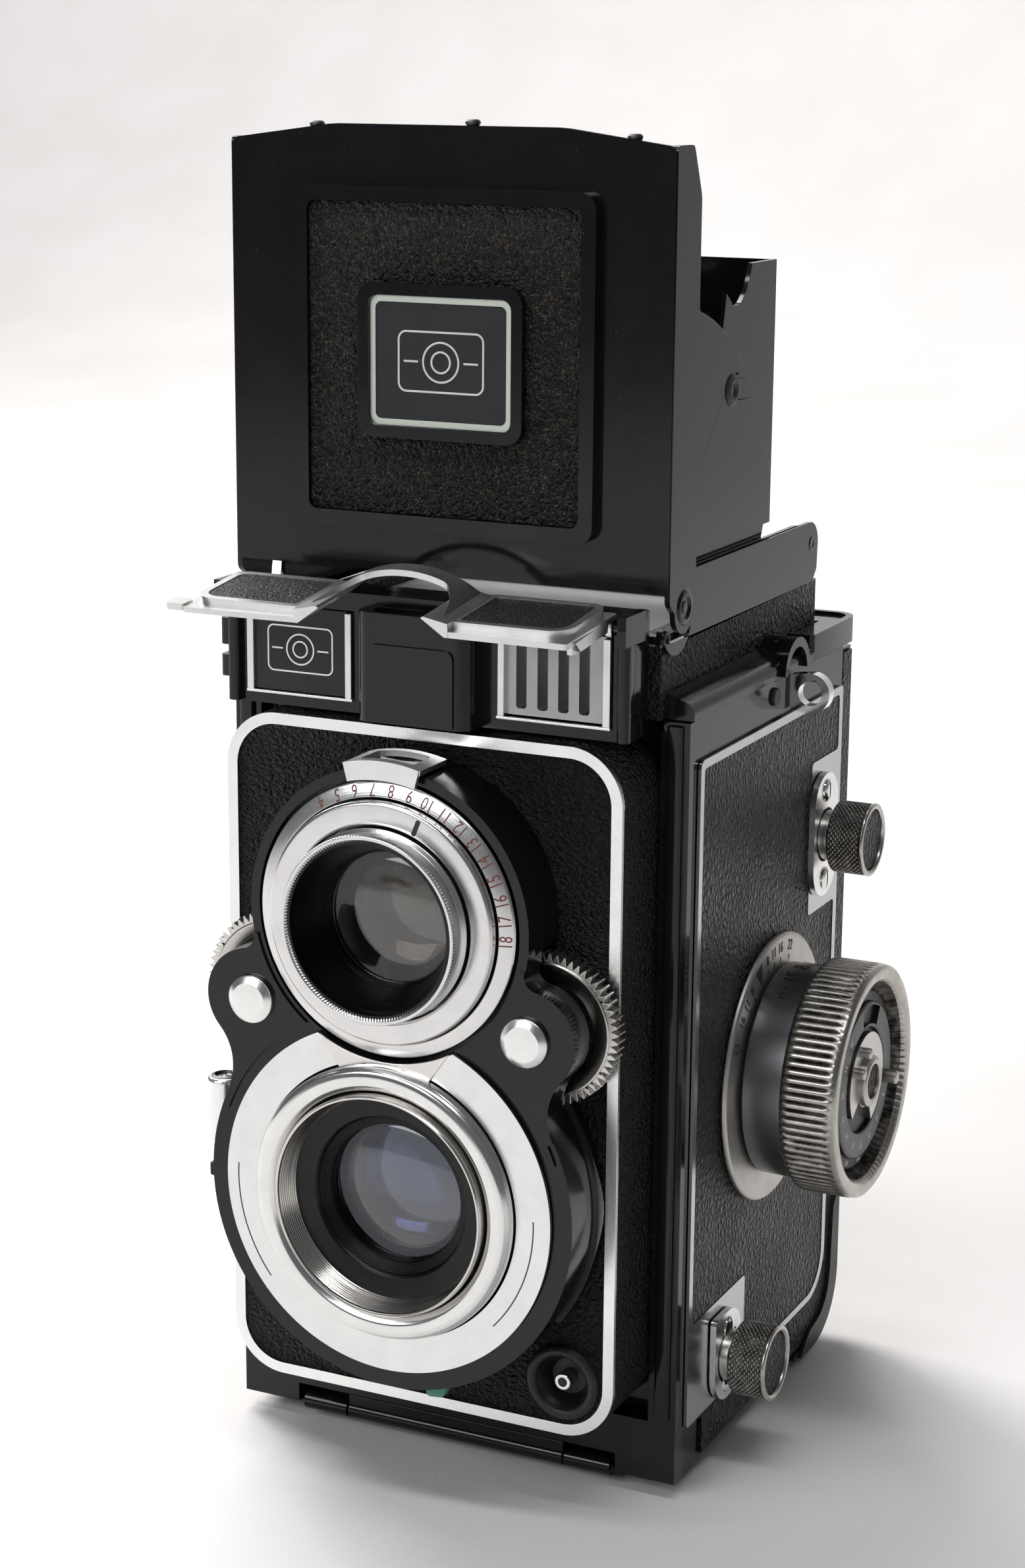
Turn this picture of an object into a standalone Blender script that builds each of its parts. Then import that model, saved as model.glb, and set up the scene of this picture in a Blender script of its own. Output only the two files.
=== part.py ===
"""A twin lens reflex camera for 6 x 6 roll film, built as its separate pieces.

Lengths are in millimetres, scaled to metres as the meshes are made. Places are measured from the
foot of the lens board's front face: x to the focus knob's side, y back, z up. The empty
"camera_origin" then puts the lowest point of the camera on z = 0, with its box centred on x and y.
"""

import math

import bmesh
import bpy
from mathutils import Matrix, Vector

MM = 0.001
OBJECT = "twin_lens_reflex_camera"
GAP = 0.3  # between touching pieces

# Where the lens board's foot stands in the row frame
ORIGIN_Y = -35.5
ORIGIN_Z = 14.0

# Frames: FRONT has its local z forward (-Y), SIDE its local x back (+Y) and local z to +X
TOP = (0.0, 0.0, 0.0)
FRONT = (math.radians(90), 0.0, 0.0)
SIDE = (math.radians(90), 0.0, math.radians(90))

# Body
BODY_HALF = 39.3  # half the width over the side walls
BODY_FRONT = 12.0
BODY_BACK = 79.6
BODY_TOP = 113.0
BODY_FOOT = -11.0
WALL = 1.5
RECESS_HALF = 34.6  # recess that the lens board slides in
RECESS_FLOOR = 15.4
SIDE_FOOT = -2.9  # lower edge of the side walls, where the door's rim begins
TRIM = 0.5  # thickness of the side trims
LUG_X, LUG_Y, LUG_Z = 42.8, 55.4, 110.1  # middle of a strap lug's eye
LUG_R = 3.4

# Lenses and spools
TAKE_Z = 38.5
VIEW_Z = 83.2
HUB_X, HUB_Z = 23.4, 67.6
TAKEUP = (68.7, 82.9)  # y, z of the upper spool
SUPPLY = (29.6, 4.8)  # y, z of the lower spool
SPOOL_R = 12.4
SPOOL_HALF = 31.2
FOCUS = (48.5, 48.2)  # y, z of the focus knob

# Lens board
BOARD_HALF = 33.75
BOARD_TOP = 110.5
BOARD_R = 8.75
BOARD_DEPTH = 14.6

# Shutter's shell and release
SHELL_FRONT = 10.5
VIEW_SHELL_R = 23.6
TAKE_SHELL_R = 31.2
RELEASE = (-37.0, 3.0)  # x, y of the release's stem

# Door
HINGE = (13.5, -10.9)  # y, z of the door's hinge
DOOR_BACK = 85.5
DOOR_FOOT = -11.4
DOOR_TOP = 112.2
DOOR_HALF = 39.1
DOOR_R = 10.0

# Finder
HOUSING_HALF = 35.0
HOUSING_BACK = 78.2
HOUSING_TOP = 124.5
DECK_HALF = 31.9
LID_PIVOT = (15.0, 130.0)
LEAF_PIVOT = (39.0, 159.7)
LID_FACE = 8.84
LID_TOP = 197.5
SECTOR_R = 44.0
MAGNIFIER = (12.6, 193.6)  # y, z of the magnifier's hinge
LEAF_BACK = 59.5
RAIL_TOP = 134.9

# Meter
METER_FACE = 2.0
FLAP_AXIS = (-0.4, 128.9)
FLAP_TIP = 7.0

STEEL = (0.62, 0.62, 0.6)
SILVER = (0.78, 0.78, 0.77)
BLACK = (0.018, 0.018, 0.021)
LEATHER = (0.03, 0.03, 0.033)


# ---------------------------------------------------------------- tools


def clear_scene():
    for old in list(bpy.data.objects):
        bpy.data.objects.remove(old, do_unlink=True)


def new_collection(name):
    made = bpy.data.collections.new(name)
    bpy.context.scene.collection.children.link(made)
    return made


def material(name, colour, roughness, metallic=0.0, alpha=1.0):
    made = bpy.data.materials.get(name)
    if made is None:
        made = bpy.data.materials.new(name)
        made.use_nodes = True
        shader = made.node_tree.nodes["Principled BSDF"]
        shader.inputs["Base Color"].default_value = (*colour, 1.0)
        shader.inputs["Roughness"].default_value = roughness
        shader.inputs["Metallic"].default_value = metallic
        shader.inputs["Alpha"].default_value = alpha
    return made


def paint():
    return material("black_enamel", BLACK, 0.25)


def leather():
    return material("leather", LEATHER, 0.55)


def satin():
    return material("satin_chrome", SILVER, 0.3, 1.0)


def nickel():
    return material("worn_nickel", STEEL, 0.35, 1.0)


def glass():
    return material("coated_glass", (0.35, 0.38, 0.45), 0.05, 0.0, 0.35)


def place(name, mesh, at, frame, look):
    """Names a mesh, gives it its look and stands it at a point of the camera."""
    made = bpy.data.objects.new(name, mesh)
    made.rotation_euler = frame
    made.location = Vector(at) * MM
    made.parent = CAMERA
    if look is not None:
        mesh.materials.clear()
        mesh.materials.append(look)
    PARTS.objects.link(made)
    return made


def block(name, low, high, look=None, at=(0, 0, 0), edge=0.0):
    """A box between two corners, with its edges rounded."""
    sheet = bmesh.new()
    bmesh.ops.create_cube(sheet, size=1.0)
    size = Vector(high) - Vector(low)
    middle = (Vector(high) + Vector(low)) / 2 - Vector(at)
    for vertex in sheet.verts:
        vertex.co = Vector(c * s for c, s in zip(vertex.co, size)) * MM + middle * MM
    mesh = bpy.data.meshes.new(name)
    sheet.to_mesh(mesh)
    sheet.free()
    made = place(name, mesh, at, TOP, look)
    if edge:
        round_edges(made, edge)
    return made


def round_edges(made, width, segments=2, angle=40):
    bevel = made.modifiers.new("round", "BEVEL")
    bevel.width = width * MM
    bevel.segments = segments
    bevel.limit_method = "ANGLE"
    bevel.angle_limit = math.radians(angle)


def turned(name, profile, at, frame, look=None, steps=32, ring=False):
    """Turns (radius, height) points about the local z axis; a ring's profile is a closed loop."""
    count = len(profile)
    edges = [(i, i + 1) for i in range(count - 1)]
    if ring:
        edges.append((count - 1, 0))
    mesh = bpy.data.meshes.new(name)
    mesh.from_pydata([(r * MM, 0.0, h * MM) for r, h in profile], edges, [])
    made = place(name, mesh, at, frame, look)
    screw = made.modifiers.new("turn", "SCREW")
    screw.axis = "Z"
    screw.steps = steps
    screw.render_steps = steps
    screw.use_merge_vertices = True
    screw.merge_threshold = 0.000001
    screw.use_smooth_shade = True
    return made


def plate(name, loops, low, high, at, frame, look=None):
    """A flat outline, with holes where loops lie inside it, between two heights of its frame."""
    curve = bpy.data.curves.new(name, "CURVE")
    curve.dimensions = "2D"
    curve.fill_mode = "BOTH"
    curve.extrude = (high - low) / 2 * MM
    for loop in loops:
        spline = curve.splines.new("POLY")
        spline.points.add(len(loop) - 1)
        spline.use_cyclic_u = True
        for point, (u, v) in zip(spline.points, loop):
            point.co = (u * MM, v * MM, 0.0, 1.0)
    source = bpy.data.objects.new(name + "_outline", curve)
    bpy.context.scene.collection.objects.link(source)
    graph = bpy.context.evaluated_depsgraph_get()
    mesh = bpy.data.meshes.new_from_object(source.evaluated_get(graph))
    bpy.data.objects.remove(source, do_unlink=True)
    sheet = bmesh.new()
    sheet.from_mesh(mesh)
    bmesh.ops.translate(sheet, verts=sheet.verts, vec=(0, 0, (high + low) / 2 * MM))
    bmesh.ops.remove_doubles(sheet, verts=sheet.verts, dist=0.000001)
    bmesh.ops.recalc_face_normals(sheet, faces=sheet.faces)
    sheet.to_mesh(mesh)
    sheet.free()
    mesh.name = name
    return place(name, mesh, at, frame, look)


def combine(made, operation, tools):
    for tool in tools:
        PARTS.objects.unlink(tool)
        TOOLS.objects.link(tool)
        tool.hide_render = True
        tool.display_type = "WIRE"
        step = made.modifiers.new(operation.lower(), "BOOLEAN")
        step.operation = operation
        step.solver = "EXACT"
        step.object = tool
    return made


def cut(made, *tools):
    return combine(made, "DIFFERENCE", tools)


def join(made, *tools):
    return combine(made, "UNION", tools)


def rod(name, radius, low, high, at, frame, steps=24):
    """A plain cylinder between two heights of its frame, for cutting or joining."""
    return turned(name, [(0, high), (radius, high), (radius, low), (0, low)], at, frame, None, steps)


def arc(centre, radius, start, end, count):
    """Points from one angle to another, in degrees, both ends included."""
    turn = [math.radians(start + (end - start) * i / count) for i in range(count + 1)]
    return [(centre[0] + radius * math.cos(a), centre[1] + radius * math.sin(a)) for a in turn]


def circle(centre, radius, count=24):
    return arc(centre, radius, 0, 360, count)[:-1]


def rounded(left, right, low, high, radius, count=4):
    """A rectangle with round corners; radius may be one value or four, from the lower left."""
    radii = radius if isinstance(radius, tuple) else (radius,) * 4
    corners = ((left, low, 1, 1, 180), (right, low, -1, 1, 270),
               (right, high, -1, -1, 0), (left, high, 1, -1, 90))
    points = []
    for (u, v, du, dv, start), r in zip(corners, radii):
        if r:
            points += arc((u + du * r, v + dv * r), r, start, start + 90, count)
        else:
            points.append((u, v))
    return points


def mirrored(points):
    """A right half, from bottom to top, closed by its mirror image."""
    return points + [(-u, v) for u, v in reversed(points)]


def toothed(outer, inner, teeth):
    """The outline of a wheel with pointed teeth."""
    points = []
    for i in range(teeth):
        angle = 2 * math.pi * i / teeth
        half = math.pi / teeth
        points.append((outer * math.cos(angle), outer * math.sin(angle)))
        points.append((inner * math.cos(angle + half), inner * math.sin(angle + half)))
    return points


def meeting(first, r1, second, r2, side):
    """The centre at distance r1 from one point and r2 from another, on one side of their line."""
    a, b = Vector(first), Vector(second)
    span = (b - a).length
    along = (r1 * r1 - r2 * r2 + span * span) / (2 * span)
    off = math.sqrt(max(r1 * r1 - along * along, 0.0))
    line = (b - a) / span
    return a + line * along + Vector((line.y, -line.x)) * off * side


def heading(centre, point):
    return math.degrees(math.atan2(point[1] - centre[1], point[0] - centre[0]))


# ---------------------------------------------------------------- body


def make_body_shell():
    """The cast body: side walls, recessed front wall, and the light baffle above the film gate."""
    shell = block("body_shell", (-BODY_HALF, BODY_FRONT, BODY_FOOT), (BODY_HALF, BODY_BACK, BODY_TOP), paint())
    inner = BODY_HALF - WALL
    corner = arc((BODY_BACK - 7.5, SIDE_FOOT + 7.5), 7.5, 0, -90, 5)
    corner += [(BODY_BACK - 7.5, SIDE_FOOT - 9), (BODY_BACK + 9, SIDE_FOOT - 9), (BODY_BACK + 9, SIDE_FOOT + 7.5)]
    cut(
        shell,
        block("inside", (-inner, RECESS_FLOOR + WALL, BODY_FOOT - 1), (inner, BODY_BACK + 1, BODY_TOP + 1)),
        block("door_gap", (-BODY_HALF - 1, HINGE[0] + 2.1, BODY_FOOT - 1),
              (BODY_HALF + 1, BODY_BACK + 1, SIDE_FOOT)),
        plate("foot_corner", [corner], -BODY_HALF - 1, BODY_HALF + 1, (0, 0, 0), SIDE),
        block("barrel_gap", (-29, BODY_FRONT - 1, BODY_FOOT - 1), (29, HINGE[0] + 3, HINGE[1] + 3.2)),
        block("board_recess", (-RECESS_HALF, BODY_FRONT - 1, -0.9), (RECESS_HALF, RECESS_FLOOR, BODY_TOP + 1)),
        block("top_gap", (-HOUSING_HALF, BODY_FRONT - 1, BOARD_TOP + 0.9),
              (HOUSING_HALF, RECESS_FLOOR + 5, BODY_TOP + 1)),
        rod("view_way", 15.8, -20, 5, (0, 0, VIEW_Z), FRONT, 22),
        rod("take_way", 24.4, -20, 5, (0, 0, TAKE_Z), FRONT, 28),
        rod("focus_way", 3.4, 30, 45, (0, *FOCUS), SIDE, 20),
        rod("takeup_way", 4.6, 30, 45, (0, *TAKEUP), SIDE, 20),
        rod("supply_way", 4.6, 30, 45, (0, *SUPPLY), SIDE, 20),
        rod("advance_way", 3.2, -45, -30, (0, *TAKEUP), SIDE, 20),
    )
    return shell


def make_top_cover():
    """The painted shoulder round the finder, which overhangs the door at the back."""
    outer = rounded(-39.8, 39.8, 12.3, 86.2, (1.2, 1.2, 3.5, 3.5), 3)
    inner = rounded(-HOUSING_HALF - GAP, HOUSING_HALF + GAP, 9.0, HOUSING_BACK + GAP, 0.0)
    cover = plate("top_cover", [outer], BODY_TOP + GAP, 118.0, (0, 0, 0), TOP, paint())
    cut(cover, plate("cover_hole", [inner], BODY_TOP - 1, 120, (0, 0, 0), TOP))
    for side in (-1, 1):
        slope = [(30, 118.9), (41.5, 113.9), (41.5, 121.0), (30, 121.0)]
        slope = [(side * u, v) for u, v in slope]
        cut(cover, plate("shoulder", [slope], -95, 20, (0, 0, 0), FRONT))
        low, high = (35.4, 40.6) if side > 0 else (-40.6, -35.4)
        boss = rod("lug_boss", 5.6, low, high, (0, 56.0, 113.2), SIDE)
        join(cover, cut(boss, block("boss_trim", (-41, 50, 100), (41, 62, BODY_TOP + GAP))))
    return cover


def make_side_trim(name, side):
    """The chrome frame on a side wall, widened into tabs under the film knobs."""
    outline = rounded(15.2, 78.6, SIDE_FOOT + 0.3, 106.6, (0.8, 8.0, 1.0, 1.0), 4)
    knob_tab = [(77.0, 95.8), (64.5, 95.8), (64.5, 69.5), (77.0, 69.5)]
    foot_tab = [(39.5, -1.4), (39.5, 14.6), (16.6, 14.6)]
    field = [(16.6, 105.2), (77.0, 105.2)]
    field += knob_tab if side > 0 else []
    field += arc((70.2, 5.4), 6.8, 0, -90, 4)
    field += foot_tab if side > 0 else [(16.6, -1.4)]
    low = BODY_HALF + GAP / 2 if side > 0 else -BODY_HALF - GAP / 2 - TRIM
    frame = plate(name, [outline, field], low, low + TRIM, (0, 0, 0), SIDE, satin())
    if side > 0:
        cut(
            frame,
            rod("takeup_bore", 4.6, 30, 45, (0, *TAKEUP), SIDE, 20),
            rod("supply_bore", 4.6, 30, 45, (0, *SUPPLY), SIDE, 20),
        )
    return frame


def make_strap_lug(name, side):
    """A chrome eye for the strap, standing straight out of the side wall under the boss."""
    eye = [(-3.2, -2.8), (0.3, -LUG_R)] + arc((0, 0), LUG_R, -85, 85, 12) + [(0.3, LUG_R), (-3.2, 2.8)]
    outline = [(side * u, v) for u, v in eye]
    at = (side * LUG_X, LUG_Y, LUG_Z)
    return plate(name, [outline, circle((0, 0), 2.1, 20)], -1.1, 1.1, at, FRONT, satin())


def make_film_gate():
    """The plate with the square window that the film lies against."""
    gate = block("film_gate", (-37.4, 74.6, -1.0), (37.4, 76.4, 68.0), paint())
    cut(gate, block("window", (-28, 70, TAKE_Z - 28), (28, 80, TAKE_Z + 28)))
    rails = [block("rail", (x - 0.8, 76.0, 4.0), (x + 0.8, 77.2, 66.0)) for x in (-32.6, 32.6)]
    return join(gate, *rails)


def make_mirror_box():
    """The finder's dark box: a slanted floor for the mirror, open to the lens and to the screen."""
    outer = [(18.2, 121.3), (18.2, 64.4), (20.8, 64.4), (61.4, 105.0), (61.4, 121.3)]
    inner = [(19.5, 125.0), (19.5, 67.6), (60.1, 108.2), (60.1, 125.0)]
    made = plate("mirror_box", [outer], -DECK_HALF, DECK_HALF, (0, 0, 0), SIDE, paint())
    cut(
        made,
        plate("dark_space", [inner], -DECK_HALF + 1.3, DECK_HALF - 1.3, (0, 0, 0), SIDE),
        rod("view_port", 13.2, -25, -10, (0, 0, VIEW_Z), FRONT, 32),
    )
    return made


def make_reflex_mirror():
    """The front-silvered mirror, on its slanted floor."""
    normal = Vector((-1, 1)).normalized()
    start = Vector((20.6, 68.7)) + normal * GAP
    end = Vector((58.8, 106.9)) + normal * GAP
    outline = [start, end, end + normal * 1.2, start + normal * 1.2]
    look = material("mirror", (0.85, 0.86, 0.88), 0.03, 1.0)
    return plate("reflex_mirror", [[tuple(p) for p in outline]], -28.5, 28.5, (0, 0, 0), SIDE, look)


def make_ground_glass():
    return block("ground_glass", (-29.8, 19.0, 121.6), (29.8, 59.4, 122.9),
                 material("ground_glass", (0.7, 0.72, 0.72), 0.6, 0.0, 0.6))


def make_finder_housing():
    """The leather-covered upper housing, with slots beside its deck for the hood's side leaves."""
    housing = block("finder_housing", (-HOUSING_HALF, 10.4, BODY_TOP + GAP),
                    (HOUSING_HALF, HOUSING_BACK, HOUSING_TOP), leather())
    slots = [block("leaf_slot", (min(a, b), 13.4, 100), (max(a, b), 76.8, 130))
             for a, b in ((32.0, 34.3), (-32.0, -34.3))]
    cut(
        housing,
        block("under_deck", (-34.3, 11.6, 100), (34.3, 76.8, 123.2)),
        block("screen_window", (-28.5, 20.5, 120), (28.5, 58.0, 130)),
        *slots,
    )
    return housing


def make_hood_base():
    """The painted rails that the hood folds into."""
    low = HOUSING_TOP + GAP
    outline = [(9.8, low), (73.0, low), (75.0, 126.6)]
    outline += arc((71.4, 131.0), 3.6, 0, 60, 3) + [(66.0, RAIL_TOP), (21.5, RAIL_TOP)]
    outline += [(20.4, 127.8), (9.8, 127.2)]
    base = plate("hood_base", [outline], 34.55, 35.65, (0, 0, 0), SIDE, paint())
    front = block("front_sill", (-35.6, 10.4, low), (35.6, 12.6, 126.0))
    other = plate("left_rail", [outline], -35.65, -34.55, (0, 0, 0), SIDE)
    return join(base, front, other)


# ---------------------------------------------------------------- hood


def lid_flange(side):
    """A side flange of the lid, ending in the tongue round the pivot."""
    tongue = arc((LID_PIVOT[0] - 0.4, LID_PIVOT[1] - 0.4), 3.6, -180, 0, 8)
    outline = tongue + [(19.5, 136.0), (18.2, 144.0), (18.2, 190.0), (15.0, LID_TOP), (9.2, LID_TOP), (9.2, 131.0)]
    low = 35.95 if side > 0 else -36.8
    return plate("flange", [outline], low, low + 0.85, (0, 0, 0), SIDE)


def make_hood_lid():
    """The hood's front panel: a pressed plate with flanges and a ridge round the leather."""
    at = (0, *LID_PIVOT)
    half = 36.6
    top = [(half, 197.3), (20.5, 197.5), (18.0, 199.4)]
    outline = mirrored([(half, 132.6)] + top)
    outline = [(u, v - LID_PIVOT[1]) for u, v in outline]
    face = LID_PIVOT[0] - LID_FACE
    lid = plate("hood_lid", [outline], face - 1.0, face, at, FRONT, paint())
    ridge_outer = rounded(-24.6, 24.6, 10.0, 60.2, 2.0, 3)
    ridge_inner = rounded(-22.9, 22.9, 11.6, 58.4, 1.2, 3)
    ridge = plate("ridge", [ridge_outer, ridge_inner], face - 0.6, face + 0.9, at, FRONT)
    nubs = [rod("nub", 0.9, 67.0, 70.1, (x, LID_FACE + 1.0, LID_PIVOT[1]), TOP, 12) for x in (-22.4, 3.7, 29.6)]
    for nub, low in zip(nubs, (66.9, 68.6, 66.9)):
        nub.location.z = (LID_PIVOT[1] + low - 67.6) * MM
    lip = block("top_lip", (-36.4, LID_FACE + 0.3, 196.3), (36.4, 16.0, 197.1))
    return join(lid, ridge, lid_flange(1), lid_flange(-1), lip, *nubs)


def make_emblem_frame():
    frame = plate("emblem_frame", [rounded(-13.7, 13.7, 153.5, 176.4, 2.4, 4)],
                  -LID_FACE + GAP, -LID_FACE + 1.25, (0, 0, 0), FRONT, paint())
    round_edges(frame, 0.3, 1)
    return frame


def make_sector(name, side):
    """A side leaf of the hood, fixed to the lid, which slides down beside the finder's deck."""
    rim = arc(LID_PIVOT, SECTOR_R, 17.0, 76.0, 14)
    outline = rim + [(22.0, 176.6), (17.0, 184.0), (10.4, 184.0), (10.4, 133.5), (14.0, 132.2), (52.0, 132.2)]
    leaf = plate(name, [outline], *((33.3, 34.0) if side > 0 else (-34.0, -33.3)), (0, 0, 0), SIDE, paint())
    return cut(leaf, rod("rivet_hole", 1.7, -40, 40, (0, *LEAF_PIVOT), SIDE, 16))


def make_hood_rear():
    """The hood's back wall with its side wings, hung on the rivets of the side leaves."""
    at = (0, *LEAF_PIVOT)
    y, z = LEAF_PIVOT
    back = block("hood_rear", (-33.0, LEAF_BACK - 0.8, 136.4), (33.0, LEAF_BACK, 178.4), paint(), at)
    wing = [(LEAF_BACK - 0.2, 136.4), (LEAF_BACK - 0.2, 178.4), (48.9, 178.4), (47.6, 176.2), (44.4, 172.6)]
    wing += [(41.6, 172.2), (38.4, 174.4)] + arc((y, z), 4.2, 150, 262, 5) + [(50.0, 141.4), (56.6, 136.4)]
    wing = [(u - y, v - z) for u, v in wing]
    joined = []
    for side in (-1, 1):
        low, high = (32.3, 33.0) if side > 0 else (-33.0, -32.3)
        joined.append(plate("wing", [wing], low, high, at, SIDE))
        pin = (32.5, 34.1) if side > 0 else (-34.1, -32.5)
        joined.append(rod("rivet", 1.3, *pin, at, SIDE, 10))
    return join(back, *joined)




def make_magnifier():
    """The folding magnifier, stowed against the inside of the lid."""
    at = (0, *MAGNIFIER)
    frame = plate("magnifier_frame", [rounded(-13.0, 13.0, -22.4, 0.9, 2.0, 3), circle((0, -11.6), 9.4, 28)],
                  -0.4, 1.3, at, FRONT, paint())
    hinge = rod("magnifier_hinge", 1.1, -12.0, 12.0, at, SIDE, 12)
    join(frame, hinge)
    bulge = [(0, 1.1), (5.0, 0.95), (8.9, 0.5), (8.9, 0.1), (0, 0.1)]
    turned("magnifier_lens", bulge, (0, MAGNIFIER[0], MAGNIFIER[1] - 11.6), FRONT, glass(), 28)
    return frame


# ---------------------------------------------------------------- light meter


def make_meter_housing():
    """The meter's front housing, with its hump over the viewing lens and the ears of the flap."""
    housing = block("meter_housing", (-33.4, METER_FACE, 111.4), (33.4, 10.1, 130.0), paint(), edge=0.5)
    hump_outline = mirrored([(9.6, -9.5)] + [(u, v) for u, v in arc((7.0, 0.4), 2.6, 0, 90, 4)])
    hump = plate("hump", [[(u, -v) for u, v in hump_outline]], 111.5, 128.3, (0, 0, 0), TOP)
    ears = [block("ear", (min(a, b), -1.9, 126.4), (max(a, b), 6.0, 130.9), edge=0.4)
            for a, b in ((33.2, 34.6), (-33.2, -34.6))]
    pins = [rod("flap_pin", 0.6, *ends, (0, *FLAP_AXIS), SIDE, 12) for ends in ((32.2, 33.9), (-33.9, -32.2))]
    join(housing, hump, *ears, *pins)
    cell = block("cell_space", (12.8, -1, 114.0), (30.8, 6.2, 127.0))
    panel = block("panel_space", (-30.8, -1, 114.0), (-12.8, 2.8, 127.0))
    return cut(housing, cell, panel)


def make_meter_window():
    """The meter's cell behind four upright slots, in its bright frame."""
    made = block("meter_window", (13.1, 1.4, 114.3), (30.5, 5.8, 126.7), satin())
    slots = [block("slot", (x - 0.9, 0, 115.0), (x + 0.9, 4.6, 125.8)) for x in (16.0, 19.5, 22.9, 26.3)]
    return cut(made, *slots)


def make_name_plate():
    """The blank plate over the meter's scale, in its bright frame."""
    made = block("name_plate", (-30.5, 1.4, 114.3), (-13.1, 2.5, 126.7), paint())
    return cut(made, block("face", (-29.4, 0, 115.2), (-14.2, 1.7, 127.5)))


def flap_wing(side):
    outline = rounded(13.2, 32.0, -16.0, 0.6, (0.6, 2.2, 0.6, 0.6), 3)
    outline = [(side * u, v) for u, v in outline]
    return plate("wing", [outline], 128.3, 129.5, (0, 0, 0), TOP)


def make_meter_flap():
    """The folding cover of the meter, standing open: two wings joined by an arch."""
    at = (0, *FLAP_AXIS)
    y0, z0 = FLAP_AXIS
    arch_span, arch_rise = 13.6, 6.9
    outer, inner = [], []
    count = 18
    for i in range(count + 1):
        t = math.cos(math.pi * i / count)
        rise = arch_rise * max(1 - t * t, 0.0) ** 0.6
        outer.append((arch_span * t, 0.6 + rise))
        inner.append(((arch_span - 1.3) * t, -0.6 + rise * 0.97))
    band = plate("meter_flap", [outer + list(reversed(inner))], 3.0, 12.4, at, FRONT, satin())
    front = block("arch_front", (-10.2, -20.0, 127.0), (10.2, y0 - 7.4, 140.0))
    cut(band, front)
    wings = [flap_wing(side) for side in (-1, 1)]
    tabs = [block("tab", (min(a, b), y0 - 1.3, 128.3), (max(a, b), 1.0, 129.5)) for a, b in ((30.0, 32.9), (-30.0, -32.9))]
    join(band, *wings, *tabs)
    bores = [rod("pin_bore", 0.9, *ends, at, SIDE, 12) for ends in ((31.9, 34), (-34, -31.9))]
    hinge = Vector(at) * MM
    tip = Matrix.Translation(hinge) @ Matrix.Rotation(math.radians(FLAP_TIP), 4, "X") @ Matrix.Translation(-hinge)
    for solid in (band, front, *wings, *tabs, *bores):
        solid.matrix_basis = tip @ solid.matrix_basis
    return cut(band, *bores)


# ---------------------------------------------------------------- front standard


def make_lens_board():
    """The front standard: a leather-covered box, open at the back, that slides out to focus."""
    outline = rounded(-BOARD_HALF, BOARD_HALF, 0, BOARD_TOP, BOARD_R, 5)
    board = plate("lens_board", [outline], -BOARD_DEPTH, -1.0, (0, 0, 0), FRONT, leather())
    inner = rounded(-BOARD_HALF + 1, BOARD_HALF - 1, 1, BOARD_TOP - 1, BOARD_R - 1, 5)
    cut(
        board,
        plate("hollow", [inner], -BOARD_DEPTH - 1, -2.4, (0, 0, 0), FRONT),
        rod("view_hole", 15.6, -5, 5, (0, 0, VIEW_Z), FRONT, 22),
        rod("take_hole", 24.2, -5, 5, (0, 0, TAKE_Z), FRONT, 28),
        rod("socket_hole", 4.4, -5, 5, (25.2, 0, 8.9), FRONT, 20),
    )
    return board


def make_board_trim():
    outer = rounded(-BOARD_HALF, BOARD_HALF, 0, BOARD_TOP, BOARD_R, 6)
    inner = rounded(-BOARD_HALF + 1.8, BOARD_HALF - 1.8, 1.8, BOARD_TOP - 1.8, BOARD_R - 1.8, 6)
    return plate("board_trim", [outer, inner], -1.0 + GAP, 0.0, (0, 0, 0), FRONT, satin())


def make_focus_shroud():
    """The fixed sleeve inside the lens board, which keeps light out as it slides."""
    outer = rounded(-32.2, 32.2, 1.6, BOARD_TOP - 1.6, 7.0, 4)
    inner = rounded(-31.2, 31.2, 2.6, BOARD_TOP - 2.6, 6.0, 4)
    return plate("focus_shroud", [outer, inner], -RECESS_FLOOR + GAP, -9.2, (0, 0, 0), FRONT, paint())




def waist_outline():
    """The upper and lower circles of the shell, joined by a fillet at the waist."""
    upper, lower, fillet = (0.0, VIEW_Z), (0.0, TAKE_Z), 7.0
    waist = meeting(upper, VIEW_SHELL_R + fillet, lower, TAKE_SHELL_R + fillet, -1)
    low_end = heading(lower, waist)
    high_start = heading(upper, waist)
    half = arc(lower, TAKE_SHELL_R, -90, low_end, 18)
    half += arc(waist, fillet, low_end + 180, high_start + 180, 5)[1:-1]
    half += arc(upper, VIEW_SHELL_R, high_start, 90, 12)
    return mirrored(half[1:-1] if abs(half[0][0]) < 0.01 else half)


def wing_outline():
    """The wings that carry the two setting wheels, faired into both circles."""
    upper, lower, hub = (0.0, VIEW_Z), (0.0, TAKE_Z), (HUB_X, HUB_Z)
    hub_r, low_fillet, high_fillet = 8.0, 9.0, 2.2
    low = meeting(lower, TAKE_SHELL_R + low_fillet, hub, hub_r + low_fillet, 1)
    high = meeting(hub, hub_r + high_fillet, upper, VIEW_SHELL_R + high_fillet, 1)
    first, second = heading(lower, low), heading(hub, low)
    third, fourth = heading(hub, high), heading(upper, high)
    half = arc(lower, TAKE_SHELL_R - 1.0, 20, first, 4)
    half += arc(low, low_fillet, first + 180, second + 180, 5)
    half += arc(hub, hub_r, second, third, 10)
    half += arc(high, high_fillet, third + 180 if third < 0 else third - 180, fourth - 180, 4)
    half += arc(upper, VIEW_SHELL_R - 1.0, fourth, 30, 3)
    return mirrored(half)


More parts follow.
